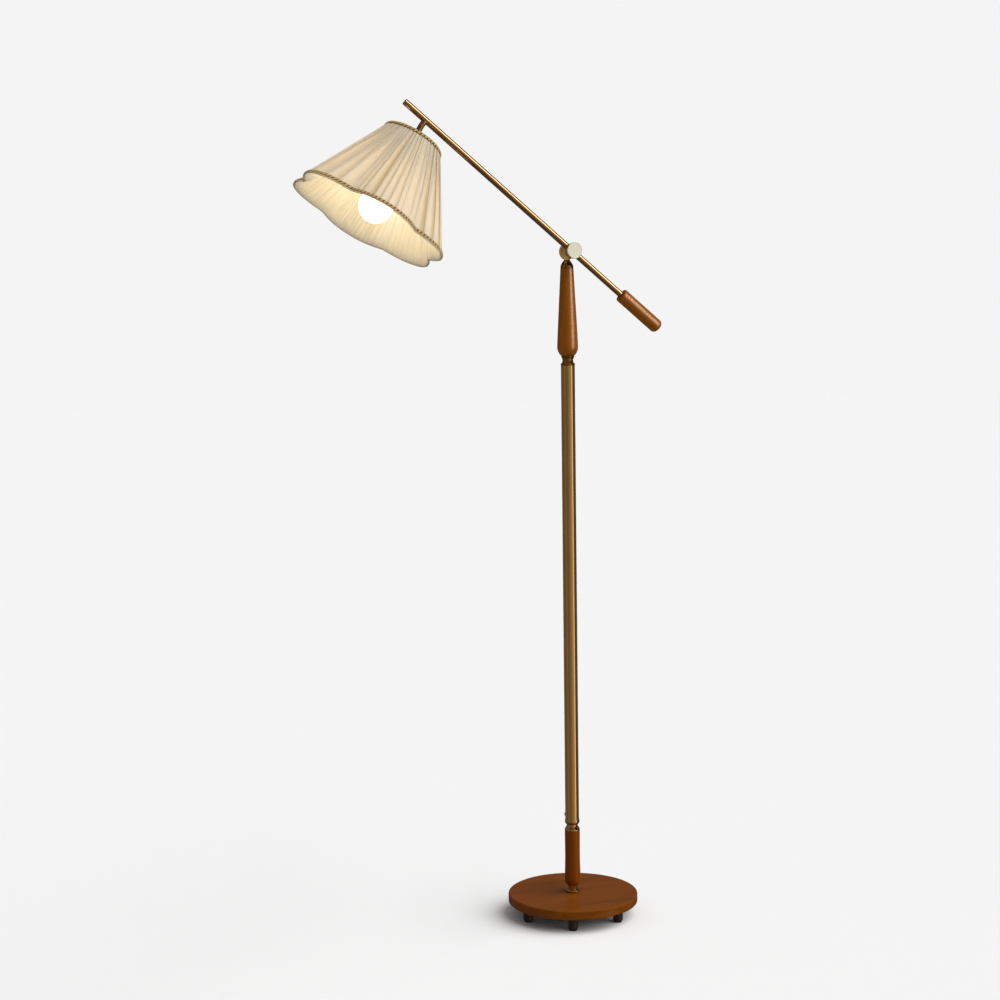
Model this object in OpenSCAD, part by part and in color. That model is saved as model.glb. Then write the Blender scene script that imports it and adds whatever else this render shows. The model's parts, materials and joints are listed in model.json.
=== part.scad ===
// Bridge floor lamp. A round wooden base on feet carries a brass pole between two turned
// wooden spindles, and a knuckle on top holds a counterweighted arm with a pleated shade.
// Lengths are in millimetres. Z is up, and the origin is on the floor on the pole's axis.

/* [Base] */
// Diameter of the round wooden base
base_d = 250; // [220:1:320]
// Thickness of the wooden base
base_t = 18; // [16:0.5:30]
// Rounding of the base's upper and lower edge
base_edge_r = 3; // [2:0.5:7]
// Height of a foot with its pad
foot_h = 26; // [24:0.5:45]
// Diameter of a foot
foot_d = 19; // [16:0.5:26]
// Number of feet
foot_count = 6; // [3:1:8]
// Distance from the base's rim to the middle of a foot
foot_inset = 26; // [20:0.5:32]
// Turn of the ring of feet about the pole
foot_turn = 3.5; // [-30:0.5:30]
// Thickness of the pad under a foot
pad_t = 2; // [1:0.25:4]
// Diameter of the iron weight under the base
weight_d = 158; // [130:1:160]
// Thickness of the iron weight
weight_t = 14; // [12:0.5:16]
// Number of screws that hold the weight
weight_screw_count = 3; // [3:1:6]
// Radius of the circle of weight screws
weight_screw_r = 55; // [45:0.5:58]

/* [Lower spindle] */
// Diameter of the brass flange on the base
ring_flange_d = 28.6; // [24:0.1:40]
// Height of the brass flange
ring_flange_h = 6; // [4:0.5:10]
// Diameter of the neck above the flange
ring_neck_d = 18; // [15:0.1:22]
// Height of the neck
ring_neck_h = 7; // [4:0.5:12]
// Length of the lower wooden stem
stem_l = 109; // [80:1:200]
// Diameter of the stem at its bulge near the base
stem_bulge_d = 30.4; // [28:0.1:40]
// Diameter of the stem at its waist
stem_waist_d = 28.6; // [24:0.1:34]
// Diameter of the stem at its top
stem_top_d = 29.2; // [27:0.1:36]

/* [Pole] */
// Outer diameter of the pole
pole_d = 26.5; // [24:0.1:32]
// Wall thickness of the pole
pole_wall = 1.5; // [1:0.1:2.5]
// Length of the pole
pole_l = 874; // [400:0.5:1100]
// Length of the ferrule between stem and pole
ferrule_h = 22.5; // [18:0.5:32]
// Diameter of the ferrule's neck
ferrule_neck_d = 20.8; // [18:0.1:23]
// Diameter of the bead under the pole
bead_d = 28.6; // [27:0.1:36]
// Height of the collar between pole and baluster
collar_h = 18.9; // [17:0.1:30]
// Diameter of the collar's neck
collar_neck_d = 20.4; // [18:0.1:23]
// Diameter of the bead on top of the pole
collar_bead_d = 27.8; // [26:0.1:34]
// Length of the plugs inside the pole
plug_l = 26; // [20:0.5:40]
// Height of the set screw above the pole's lower end
set_screw_h = 8; // [5:0.5:12]
// Direction of the set screw about the pole
set_screw_turn = 156; // [0:1:359]

/* [Upper spindle] */
// Length of the upper wooden baluster
baluster_l = 163.6; // [120:0.5:240]
// Greatest diameter of the baluster
baluster_d = 39.8; // [34:0.1:50]
// Diameter of the baluster at its top
baluster_top_d = 24.8; // [22:0.1:30]
// Diameter of the baluster at its foot
baluster_foot_d = 25.2; // [20:0.1:28]
// Height of the rounded shoulder at the baluster's foot
shoulder_h = 16; // [10:0.5:24]
// Height of the brass cap
cap_h = 16; // [15:0.5:22]
// Diameter of the brass cap
cap_d = 24.4; // [20:0.1:28]

/* [Knuckle] */
// Diameter of the knuckle's disc and of the knob
disc_d = 30.4; // [27:0.1:36]
// Thickness of the knuckle's disc
disc_t = 6; // [5:0.5:9]
// Thickness of the knob
knob_t = 5.5; // [5:0.5:10]
// Distance from the pole's axis to the arm's axis
arm_offset = 21.5; // [21:0.5:30]
// Diameter of the knuckle's barrel
barrel_d = 20; // [16:0.5:22]
// Diameter of the pivot bolt
bolt_d = 5; // [4:0.1:6]
// Thickness of a friction washer
washer_t = 0.8; // [0.5:0.1:1.5]
// Height of the disc's edge above the cap
disc_gap = 0.8; // [0.5:0.1:3]

/* [Arm] */
// Outer diameter of the arm
arm_d = 12; // [11:0.1:14]
// Wall thickness of the arm
arm_wall = 1; // [0.8:0.1:1.4]
// Reach of the arm from the pivot to its tip
arm_reach = 420; // [400:1:600]
// Rise of the arm from level
arm_rise = 38; // [0:1:60]
// Distance from the pivot to the shade's swivel
head_reach = 370; // [260:0.5:380]
// Distance from the pivot to the counterweight
weight_reach = 132; // [110:1:200]
// Diameter of the counterweight
counter_d = 26.6; // [24:0.1:36]
// Length of the counterweight
counter_l = 102; // [80:1:160]
// Length of the arm inside the counterweight
counter_grip = 28; // [20:1:40]

/* [Head] */
// Diameter of the swivel
swivel_d = 11; // [10:0.1:13]
// Distance from the arm's axis to the swivel's pin
pin_drop = 13; // [13:0.1:16]
// Diameter of the swivel's pin
pin_d = 4; // [3:0.1:4.5]
// Lean of the shade back from square to the arm
head_lean = 6.4; // [0:0.1:15]
// Length of the swivel's lower part below the pin
swivel_l = 20; // [16:0.5:28]
// Outer diameter of the lamp holder
holder_d = 39; // [36:0.1:42]
// Distance from the swivel's pin to the lamp holder
holder_drop = 46.5; // [40:0.5:56]
// Height of the lamp holder's cap
holder_cap_h = 22; // [18:0.5:30]
// Height of the lamp holder's body
holder_body_h = 44; // [42:0.5:48]
// Diameter of the bulb
bulb_d = 60; // [50:1:66]
// Length of the bulb with its cap
bulb_l = 108; // [100:1:115]

/* [Shade] */
// Diameter across the shade's top
shade_top_d = 109; // [90:1:130]
// Diameter across the shade's notches at the rim
shade_notch_d = 260; // [220:1:280]
// Diameter across the shade's lobes at the rim
shade_lobe_d = 306; // [285:1:330]
// Height of the shade along its axis
shade_h = 173.5; // [150:0.5:210]
// Distance from the swivel's pin to the shade's top
shade_drop = 29.5; // [29:0.5:36]
// Number of lobes round the rim
lobe_count = 6; // [4:1:8]
// Turn of the lobes about the shade's axis
lobe_turn = 53.5; // [0:0.5:90]
// Thickness of the pleated cover
cover_t = 1.2; // [0.8:0.1:1.6]
// Thickness of the lining
lining_t = 0.8; // [0.5:0.1:1.2]
// Diameter of the frame's rings and spokes
wire_d = 3; // [2.8:0.1:3.5]
// Diameter of the frame's ribs
rib_d = 2.5; // [2:0.1:2.7]
// Height of the braid round the top
top_braid_h = 5; // [3:0.1:7]
// Height of the braid round the rim
rim_braid_h = 6; // [4:0.1:8]
// How far the braid stands out
braid_t = 1.4; // [1.2:0.1:2.4]

/* [Fits] */
// Radial gap of a turning fit
turn_gap = 0.05; // [0.02:0.01:0.1]
// Radial gap round a rod, a screw or a plug
rod_gap = 0.1; // [0.05:0.01:0.2]
// Gap between parts that move past each other
pass_gap = 0.4; // [0.3:0.05:0.8]
// Diameter of the threaded rods
rod_d = 10; // [9:0.1:11]
// Bore of the threaded rods, for the lead
rod_bore = 6; // [5:0.1:6.5]
// Diameter of the lead that the inlet takes
lead_d = 6; // [5:0.1:7]

/* [Hidden] */
$fn = 72;
eps = 0.01;

// Colours as the photo shows them
walnut = "#7a3f12";
dark_walnut = "#6b3208";
antique_brass = "#b08a52";
pale_brass = "#e0d8cc";
steel = "#9a9a98";
iron = "#3a3836";
black_plastic = "#1e1a14";
felt = "#2b2622";
fibre = "#5a2c20";
linen = "#e6cfa4";
lining_cream = "#ffe9b8";
braid_gold = "#a8844a";
opal = "#fffaf0";
ceramic = "#ece8e0";

// Heights up the column
board_z = foot_h;
board_top_z = board_z + base_t;
stem_z = board_top_z + ring_flange_h + ring_neck_h;
ferrule_z = stem_z + stem_l;
pole_z = ferrule_z + ferrule_h;
collar_z = pole_z + pole_l;
baluster_z = collar_z + collar_h;
cap_z = baluster_z + baluster_l;
cap_top_z = cap_z + cap_h;
pivot_z = cap_top_z + disc_gap + disc_d / 2;

// Base hardware
foot_r = base_d / 2 - foot_inset;
weight_z = board_z - weight_t;
screw_d = 4;
screw_head_d = 8;
screw_head_h = 2.5;
screw_bite = 12;
screw_hole_room = 1;
pad_inset = 2;
foot_counterbore_h = 9;
nut_flats = 17;
nut_h = 5.5;
base_washer_d = 30;
base_washer_t = 1.5;
pocket_room = 4;
rod_proud = 1;
pocket_depth_room = 3;
weight_pocket_d = base_washer_d + 2 * pocket_room;
weight_pocket_h = nut_h + base_washer_t + pocket_depth_room;
weight_pocket_top = weight_z + weight_pocket_h;
lead_bush_wall = 2;
lead_bush_d = lead_d + 2 * lead_bush_wall;
lead_bush_l = 14;
lead_bush_turn = 75;
lead_bush_z = weight_z + lead_bush_d / 2;
rod_hole_d = rod_d + 2 * rod_gap;
rod_short = 4;
lower_rod_z = weight_pocket_top - base_washer_t - nut_h - rod_proud;
lower_rod_top = pole_z + plug_l - rod_short;

// Pole and spindle hardware
pole_bore = pole_d - 2 * pole_wall;
plug_d = pole_bore - 2 * rod_gap;
set_screw_d = 4;
set_screw_head_d = 6;
set_screw_head_h = 1.6;
upper_rod_z = collar_z - plug_l + rod_short;
cap_thread_h = 6;
clip_room_h = 4;
spigot_d = 8;
spigot_lift = 0.8;
clip_lift = 1.4;
clip_groove = 0.6;
clip_neck_d = spigot_d - 2 * clip_groove;
clip_d = 11.6;
clip_t = 1.2;
clip_room_d = clip_d + 1.4;
clip_z = cap_z + cap_thread_h + clip_lift;
upper_rod_top = cap_z + cap_thread_h - rod_gap;
neck_d = 11.6;

// Knuckle, from the disc on the pole's axis out to the knob
disc_face = disc_t / 2;
disc_edge_r = 0.8;
boss_wall = 0.5;
boss_w = arm_d + 2 * boss_wall;
boss_proud = 1;
boss_d = barrel_d + 2 * boss_proud;
boss_in = arm_offset - boss_w / 2;
boss_out = arm_offset + boss_w / 2;
barrel_face = boss_in - washer_t;
clamp_gap = 0.2;
knob_washer_in = boss_out + clamp_gap;
knob_in = knob_washer_in + washer_t;
bolt_head_d = 11;
bolt_head_h = 2.2;
bolt_edge_r = 0.6;
bolt_short = 0.5;
bolt_slot_w = 1.2;
bolt_slot_h = 0.9;
knob_skin = 1.5;
bolt_end = knob_in + knob_t - knob_skin - bolt_short;
lead_way_d = 4.5;
spigot_way_d = 4;
lead_way_drop = 6.6;

// Arm and counterweight
arm_bore = arm_d - 2 * arm_wall;
tip_cap_t = 1.5;
tip_spigot_l = 8;
counter_end_wall = 10;
counter_bore_l = counter_l - counter_end_wall;
core_gap = 0.5;
counter_near_r = 2.5;
counter_far_r = 8;

// Swivel, in the head's own frame with the pin at its origin and the shade below
cheek_r = swivel_d / 2;
slot_w = 4;
lug_way_d = 3.5;
pin_head_d = pin_d + 1.6;
tongue_w = slot_w - 2 * turn_gap;
shoulder_drop = cheek_r + pass_gap;
stem_thread_l = 8;
stem_d = rod_d;
stem_thread_d = stem_d - 1.5;
stem_bore = 5.5;
stem_in_cap = 6;

// Lamp holder and bulb
holder_wall = 2.2;
holder_bore = holder_d - 2 * holder_wall;
holder_body_z = holder_drop + holder_cap_h;
holder_end = holder_body_z + holder_body_h;
bulb_cap_d = 26.4;
bulb_cap_l = 27;
glass_t = 1;
neck_grip = 12;
bulb_cap_proud = 8;
bulb_seat = holder_end + bulb_cap_proud - bulb_cap_l;
bulb_end = bulb_seat + bulb_l;
bulb_centre = bulb_end - bulb_d / 2;
insert_h = 8;
insert_z = bulb_seat - insert_h;
gallery_up = 22;
gallery_z = holder_end - gallery_up;
gallery_t = 1.5;
gallery_w = 8.5;
gallery_d = holder_d + 2 * gallery_w;
ring_nut_h = 6;
ring_nut_w = 6;
ring_nut_d = holder_d + 2 * ring_nut_w;

// Shade
notch_r = shade_notch_d / 2;
lobe_r = shade_lobe_d / 2;
shade_top_r = shade_top_d / 2;
rim_drop = shade_drop + shade_h;
layer_gap = 0.35;
notch_slope = (notch_r - shade_top_r) / shade_h;
lobe_slope = (lobe_r - shade_top_r) / shade_h;
wire_room = wire_d / cos(atan(lobe_slope)) + 2 * layer_gap;
wire_in = cover_t + wire_room / 2;
lining_in = cover_t + wire_room;
lobe_steps = 24;
rim_steps = lobe_steps * lobe_count;
wire_sides = 6;
top_wire_depth = wire_d / 2 + layer_gap;
top_wire_r = shade_top_r + notch_slope * top_wire_depth - wire_in;
lining_top = top_wire_depth + wire_d / 2 + layer_gap;
spoke_count = 3;
spoke_stub_l = 5;
spoke_bend_room = 0.4;
hem = 1;
braid_floor_t = 1.65;
wire_lift = 1;
rim_wire_depth = shade_h - hem - wire_d / 2 - wire_lift;

// Where the arm and the head stand
module in_arm() translate([0, -arm_offset, pivot_z]) rotate([0, arm_rise, 0]) children();
module in_head() in_arm() translate([-head_reach, 0, -pin_drop]) rotate([0, -head_lean, 0]) children();

// A quarter or other stretch of a circle or ellipse as points
function arc(cx, cy, rx, ry, from, to, steps = 8) =
    [for (i = [0:steps]) let (a = from + (to - from) * i / steps) [cx + rx * cos(a), cy + ry * sin(a)]];

// A smooth stretch between two points with a lean at each end, as points
function curve(p, q, lean_p, lean_q, steps = 8) =
    [for (i = [0:steps]) let (t = i / steps, s = 1 - t)
        s * s * s * p + 3 * s * s * t * (p + lean_p) + 3 * s * t * t * (q - lean_q) + t * t * t * q];

// A cylinder hole that opens both ends of what it drills
module bore(d, h) translate([0, 0, -eps]) cylinder(d = d, h = h + 2 * eps);

// A round plate with rounded upper and lower edges
module soft_disc(d, t, r) {
    rotate_extrude() {
        translate([0, r]) square([d / 2, t - 2 * r]);
        square([d / 2 - r, t]);
        translate([d / 2 - r, r]) circle(r);
        translate([d / 2 - r, t - r]) circle(r);
    }
}

module at_feet() {
    for (i = [0:foot_count - 1])
        rotate([0, 0, foot_turn + i * 360 / foot_count]) translate([foot_r, 0, 0]) children();
}

module at_weight_screws() {
    for (i = [0:weight_screw_count - 1])
        rotate([0, 0, i * 360 / weight_screw_count]) translate([weight_screw_r, 0, 0]) children();
}

// A pan-head screw that points up from its head's seat at z = 0
module pan_screw(l) {
    translate([0, 0, -screw_head_h]) cylinder(d = screw_head_d, h = screw_head_h + eps);
    cylinder(d = screw_d, h = l);
}

module base_board() {
    screw_hole_d = screw_d + 2 * rod_gap;
    screw_hole_h = screw_bite + screw_hole_room;
    color(walnut) difference() {
        translate([0, 0, board_z]) soft_disc(base_d, base_t, base_edge_r);
        translate([0, 0, board_z]) bore(rod_hole_d, base_t);
        at_feet() translate([0, 0, board_z - eps]) cylinder(d = screw_hole_d, h = screw_hole_h);
        at_weight_screws() translate([0, 0, board_z - eps]) cylinder(d = screw_hole_d, h = screw_hole_h);
    }
}

module feet() {
    foot_edge_r = 3;
    color(black_plastic) at_feet() difference() {
        translate([0, 0, pad_t]) rotate_extrude() {
            translate([0, foot_edge_r]) square([foot_d / 2, foot_h - pad_t - foot_edge_r]);
            square([foot_d / 2 - foot_edge_r, foot_edge_r + eps]);
            translate([foot_d / 2 - foot_edge_r, foot_edge_r]) circle(foot_edge_r);
        }
        translate([0, 0, pad_t]) bore(screw_d + 2 * rod_gap, foot_h - pad_t);
        translate([0, 0, pad_t - eps]) cylinder(d = screw_head_d + 4 * rod_gap, h = foot_counterbore_h);
    }
}

module foot_pads() {
    color(felt) at_feet() cylinder(d = foot_d - 2 * pad_inset, h = pad_t);
}

module foot_screws() {
    seat = pad_t + foot_counterbore_h;
    color(steel) at_feet() translate([0, 0, seat - eps]) pan_screw(board_z + screw_bite - seat);
}

module base_weight() {
    lead_slot_w = lead_bush_d + 2 * rod_gap;
    lead_slot_from = weight_pocket_d / 2 - lead_slot_w / 4;
    edge_r = 2;
    color(iron) difference() {
        translate([0, 0, weight_z]) soft_disc(weight_d, weight_t, edge_r);
        translate([0, 0, weight_z]) bore(rod_hole_d, weight_t);
        translate([0, 0, weight_z - edge_r]) cylinder(d = weight_pocket_d, h = weight_pocket_h + edge_r);
        at_weight_screws() translate([0, 0, weight_z]) bore(screw_d + 2 * rod_gap, weight_t);
        rotate([0, 0, lead_bush_turn]) translate([lead_slot_from, -lead_slot_w / 2, weight_z - edge_r])
            cube([weight_d, lead_slot_w, lead_bush_d / 2 + edge_r]);
        rotate([0, 0, lead_bush_turn]) translate([lead_slot_from, 0, lead_bush_z]) rotate([0, 90, 0])
            cylinder(d = lead_slot_w, h = weight_d);
    }
}

module weight_screws() {
    color(steel) at_weight_screws() translate([0, 0, weight_z]) pan_screw(weight_t + screw_bite);
}

module lead_bush() {
    flange_t = 2;
    flange_d = lead_bush_d + 3;
    color(black_plastic) rotate([0, 0, lead_bush_turn])
        translate([weight_d / 2 - lead_bush_l, 0, lead_bush_z]) rotate([0, 90, 0]) difference() {
            union() {
                cylinder(d = lead_bush_d, h = lead_bush_l + flange_t);
                translate([0, 0, lead_bush_l]) cylinder(d = flange_d, h = flange_t);
            }
            bore(lead_d + 2 * rod_gap, lead_bush_l + flange_t);
        }
}

module base_nut() {
    color(steel) translate([0, 0, weight_pocket_top - base_washer_t - nut_h]) difference() {
        cylinder(d = nut_flats / cos(30), h = nut_h, $fn = 6);
        bore(rod_hole_d, nut_h);
    }
}

module base_washer() {
    color(steel) translate([0, 0, weight_pocket_top - base_washer_t]) difference() {
        cylinder(d = base_washer_d, h = base_washer_t);
        bore(rod_hole_d, base_washer_t);
    }
}

// A hollow threaded rod between two heights on the pole's axis
module rod(from, to) {
    color(steel) translate([0, 0, from]) difference() {
        cylinder(d = rod_d, h = to - from);
        bore(rod_bore, to - from);
    }
}

module lower_rod() rod(lower_rod_z, lower_rod_top);

module base_ring() {
    ring_h = ring_flange_h + ring_neck_h;
    neck_r = ring_neck_d / 2;
    flange_r = ring_flange_d / 2;
    edge_r = ring_flange_h / 2;
    color(antique_brass) translate([0, 0, board_top_z]) difference() {
        rotate_extrude() polygon(concat(
            [[0, 0], [flange_r - edge_r, 0]],
            arc(flange_r - edge_r, edge_r, edge_r, edge_r, -90, 90),
            [[neck_r, ring_flange_h], [neck_r, ring_h], [0, ring_h]]));
        bore(rod_hole_d, ring_h);
    }
}

module lower_stem() {
    toe_proud = 0.3;
    toe_r = ring_neck_d / 2 + toe_proud;
    bulge_r = stem_bulge_d / 2;
    waist_r = stem_waist_d / 2;
    top_r = stem_top_d / 2;
    bulge_h = 12;
    waist_h = 60;
    sway = 16;
    color(walnut) translate([0, 0, stem_z]) difference() {
        rotate_extrude() polygon(concat(
            [[0, 0]],
            arc(toe_r, bulge_h, bulge_r - toe_r, bulge_h, -90, 0),
            curve([bulge_r, bulge_h], [waist_r, waist_h], [0, sway], [0, sway]),
            curve([waist_r, waist_h], [top_r, stem_l], [0, sway], [0, sway / 2]),
            [[0, stem_l]]));
        bore(rod_hole_d, stem_l);
    }
}

module lower_ferrule() {
    top_r = stem_top_d / 2;
    neck_r = ferrule_neck_d / 2;
    bead_r = bead_d / 2;
    band_h = 2;
    neck_flat = 0.3;
    bead_h = 12;
    swell_h = 5.5;
    bead_from = ferrule_h - bead_h;
    color(antique_brass) translate([0, 0, ferrule_z]) difference() {
        rotate_extrude() polygon(concat(
            [[0, 0], [top_r, 0]],
            curve([top_r, band_h], [neck_r, bead_from - neck_flat], [-1, 2], [0, 2]),
            curve([neck_r, bead_from], [bead_r, ferrule_h - swell_h], [1.5, 0.8], [0, 3]),
            curve([bead_r, ferrule_h - swell_h], [pole_d / 2, ferrule_h], [0, 2], [-0.3, 1.5]),
            [[0, ferrule_h]]));
        bore(rod_hole_d, ferrule_h);
    }
}

// A plug inside the pole that a rod screws into, standing on z = 0
module pole_plug() {
    difference() {
        cylinder(d = plug_d, h = plug_l);
        bore(rod_hole_d, plug_l);
    }
}

module pole_bottom_plug() {
    color(steel) translate([0, 0, pole_z]) difference() {
        pole_plug();
        rotate([0, 0, set_screw_turn]) translate([0, 0, set_screw_h]) rotate([0, 90, 0])
            cylinder(d = set_screw_d + 2 * rod_gap, h = plug_d);
    }
}

module pole_set_screw() {
    reach = pole_d / 2 - rod_d / 2 - rod_gap;
    head_r = set_screw_head_d / 2;
    seat_r = sqrt(pow(pole_d / 2, 2) - pow(head_r, 2));
    color(antique_brass) translate([0, 0, pole_z + set_screw_h]) rotate([0, 0, set_screw_turn]) difference() {
        rotate([0, 90, 0]) union() {
            translate([0, 0, rod_d / 2 + rod_gap]) cylinder(d = set_screw_d, h = reach);
            translate([0, 0, seat_r])
                cylinder(d = set_screw_head_d, h = pole_d / 2 - seat_r + set_screw_head_h);
        }
        difference() {
            cylinder(d = pole_d + 2 * eps, h = set_screw_head_d + 2, center = true);
            rotate([0, 90, 0]) cylinder(d = set_screw_d, h = pole_d);
        }
    }
}

module pole_tube() {
    color(antique_brass) translate([0, 0, pole_z]) difference() {
        cylinder(d = pole_d, h = pole_l);
        bore(pole_bore, pole_l);
        rotate([0, 0, set_screw_turn]) translate([0, 0, set_screw_h]) rotate([0, 90, 0])
            cylinder(d = set_screw_d + 2 * rod_gap, h = pole_d);
    }
}

module pole_top_plug() {
    color(steel) translate([0, 0, collar_z - plug_l]) pole_plug();
}

module upper_collar() {
    bead_r = collar_bead_d / 2;
    neck_r = collar_neck_d / 2;
    ring_r = baluster_foot_d / 2;
    bead_h = 4.4;
    bead_edge = bead_h / 2;
    ring_h = 3.6;
    fillet_w = 1.6;
    flare_w = 0.6;
    sway = 2;
    ring_from = collar_h - ring_h;
    cove_z = (bead_h + ring_from) / 2;
    color(antique_brass) translate([0, 0, collar_z]) difference() {
        rotate_extrude() polygon(concat(
            [[0, 0]],
            arc(bead_r - bead_edge, bead_edge, bead_edge, bead_edge, -90, 60),
            curve([neck_r + fillet_w, bead_h], [neck_r, cove_z], [-0.8, 1.5], [0, sway]),
            curve([neck_r, cove_z], [ring_r - flare_w, ring_from], [0, sway], [1.2, 1.2]),
            arc(ring_r - ring_h / 2, ring_from + ring_h / 2, ring_h / 2, ring_h / 2, -60, 90),
            [[0, collar_h]]));
        bore(rod_hole_d, collar_h);
    }
}

module upper_rod() rod(upper_rod_z, upper_rod_top);

module upper_baluster() {
    toe_r = baluster_foot_d / 2;
    color(dark_walnut) translate([0, 0, baluster_z]) difference() {
        rotate_extrude() polygon(concat(
            [[0, 0]],
            curve([toe_r, 0], [baluster_d / 2, shoulder_h], [3.5, 2.5], [0, 7], 12),
            curve([baluster_d / 2, shoulder_h], [baluster_top_d / 2, baluster_l],
                [-0.5, 20], [baluster_top_d / 2 - baluster_d / 2, baluster_l - shoulder_h] / 3),
            [[0, baluster_l]]));
        bore(rod_hole_d, baluster_l);
    }
}

module top_cap() {
    cap_r = cap_d / 2;
    top_r = neck_d / 2;
    band_h = 4.5;
    lip_r = 1;
    color(antique_brass) translate([0, 0, cap_z]) difference() {
        rotate_extrude() polygon(concat(
            [[0, 0]],
            arc(cap_r - lip_r, lip_r, lip_r, lip_r, -90, 0, 4),
            curve([cap_r, band_h], [top_r, cap_h], [-0.3, 3], [-2.4, 3]),
            [[0, cap_h]]));
        bore(spigot_d + 2 * turn_gap, cap_h);
        translate([0, 0, -eps]) cylinder(d = rod_hole_d, h = cap_thread_h + 2 * eps);
        translate([0, 0, cap_thread_h]) cylinder(d = clip_room_d, h = clip_room_h);
    }
}

// Puts a shape that stands on z = 0 along -Y, at a distance in front of the pole's axis
module outward(from) translate([0, -from, pivot_z]) rotate([90, 0, 0]) children();

module knuckle() {
    spigot_from = cap_z + cap_thread_h + spigot_lift;
    color(antique_brass) difference() {
        union() {
            outward(-disc_face) soft_disc(disc_d, disc_t, disc_edge_r);
            outward(0) cylinder(d = barrel_d, h = barrel_face);
            translate([0, 0, cap_top_z]) cylinder(d = neck_d, h = disc_gap + disc_t);
            translate([0, 0, spigot_from]) cylinder(d = spigot_d, h = cap_top_z - spigot_from + eps);
        }
        outward(-disc_face) bore(bolt_d + 2 * rod_gap, disc_face + barrel_face);
        translate([0, 0, spigot_from - eps])
            cylinder(d = spigot_way_d, h = pivot_z - lead_way_drop - spigot_from);
        outward(0) translate([0, -lead_way_drop, 0]) cylinder(d = lead_way_d, h = barrel_face + eps);
        difference() {
            translate([0, 0, clip_z - rod_gap]) cylinder(d = clip_d, h = clip_t + 2 * rod_gap);
            translate([0, 0, cap_z]) cylinder(d = clip_neck_d, h = cap_h);
        }
    }
}

module swing_clip() {
    mouth_w = clip_neck_d - 2 * clip_groove;
    color(steel) translate([0, 0, clip_z]) difference() {
        cylinder(d = clip_d, h = clip_t);
        bore(clip_neck_d + 2 * rod_gap, clip_t);
        translate([0, -mouth_w / 2, -eps]) cube([clip_d, mouth_w, clip_t + 2 * eps]);
    }
}

module pivot_bolt() {
    color(antique_brass) {
        outward(-disc_face) cylinder(d = bolt_d, h = disc_face + bolt_end);
        outward(-disc_face - bolt_head_h) difference() {
            soft_disc(bolt_head_d, bolt_head_h, bolt_edge_r);
            translate([-bolt_head_d / 2, -bolt_slot_w / 2, -eps])
                cube([bolt_head_d, bolt_slot_w, bolt_slot_h]);
        }
    }
}

// A flat fibre ring round the pivot bolt
module friction_ring(from) {
    color(fibre) outward(from) difference() {
        cylinder(d = barrel_d, h = washer_t);
        bore(bolt_d + 2 * rod_gap, washer_t);
    }
}

module knuckle_washer() friction_ring(barrel_face);

module knob_washer() friction_ring(knob_washer_in);

module knob() {
    color(pale_brass) outward(knob_in) difference() {
        soft_disc(disc_d, knob_t, disc_edge_r);
        translate([0, 0, -eps]) cylinder(d = bolt_d + 2 * turn_gap, h = knob_t - knob_skin);
    }
}

module arm_boss() {
    color(antique_brass) difference() {
        outward(boss_in) cylinder(d = boss_d, h = boss_w);
        outward(boss_in) bore(bolt_d + 2 * turn_gap, boss_w);
        in_arm() rotate([0, 90, 0]) cylinder(d = arm_d + 2 * rod_gap, h = 2 * boss_d, center = true);
    }
}

module arm_tube() {
    tube_from = -(arm_reach - tip_cap_t);
    tube_to = weight_reach + counter_grip;
    color(antique_brass) in_arm() difference() {
        translate([tube_from, 0, 0]) rotate([0, 90, 0]) cylinder(d = arm_d, h = tube_to - tube_from);
        translate([tube_from, 0, 0]) rotate([0, 90, 0]) bore(arm_bore, tube_to - tube_from);
        rotate([90, 0, 0]) cylinder(d = bolt_d + 2 * turn_gap, h = 2 * arm_d, center = true);
        translate([-head_reach, 0, -arm_d]) cylinder(d = lead_way_d, h = arm_d);
    }
}

module arm_tip_plug() {
    color(antique_brass) in_arm() translate([-arm_reach, 0, 0]) rotate([0, 90, 0]) {
        cylinder(d = arm_d, h = tip_cap_t);
        cylinder(d = arm_bore - 2 * rod_gap, h = tip_cap_t + tip_spigot_l);
    }
}

module counterweight() {
    counter_r = counter_d / 2;
    color(walnut) in_arm() translate([weight_reach, 0, 0]) rotate([0, 90, 0]) difference() {
        rotate_extrude() polygon(concat(
            [[0, 0]],
            arc(counter_r - counter_near_r, counter_near_r, counter_near_r, counter_near_r, -90, 0, 6),
            arc(counter_r - counter_far_r, counter_l - counter_far_r,
                counter_far_r, counter_far_r, 0, 90, 10),
            [[0, counter_l]]));
        translate([0, 0, -eps]) cylinder(d = arm_d + 2 * rod_gap, h = counter_bore_l);
    }
}

module counterweight_core() {
    core_l = counter_bore_l - counter_grip - core_gap;
    color(steel) in_arm() translate([weight_reach + counter_grip, 0, 0]) rotate([0, 90, 0]) {
        cylinder(d = arm_d, h = core_l);
        translate([0, 0, -tip_spigot_l]) cylinder(d = arm_bore - 2 * rod_gap, h = tip_spigot_l + eps);
    }
}

module arm_lug() {
    color(antique_brass) in_arm() translate([-head_reach, 0, 0]) difference() {
        union() {
            translate([0, 0, -pin_drop]) cylinder(d = swivel_d, h = pin_drop);
            intersection() {
                translate([0, 0, -pin_drop]) rotate([90, 0, 0])
                    cylinder(r = cheek_r, h = swivel_d, center = true);
                translate([0, 0, -2 * pin_drop]) cylinder(d = swivel_d, h = 2 * pin_drop);
            }
        }
        rotate([0, 90, 0]) cylinder(d = arm_d + 2 * eps, h = 2 * swivel_d, center = true);
        translate([-swivel_d, -slot_w / 2, -2 * pin_drop])
            cube([2 * swivel_d, slot_w, pin_drop + cheek_r + pass_gap / 2]);
        translate([0, 0, -pin_drop]) rotate([90, 0, 0])
            cylinder(d = pin_d + 2 * turn_gap, h = 2 * swivel_d, center = true);
        translate([0, 0, -pin_drop]) cylinder(d = lug_way_d, h = pin_drop);
    }
}

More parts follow.
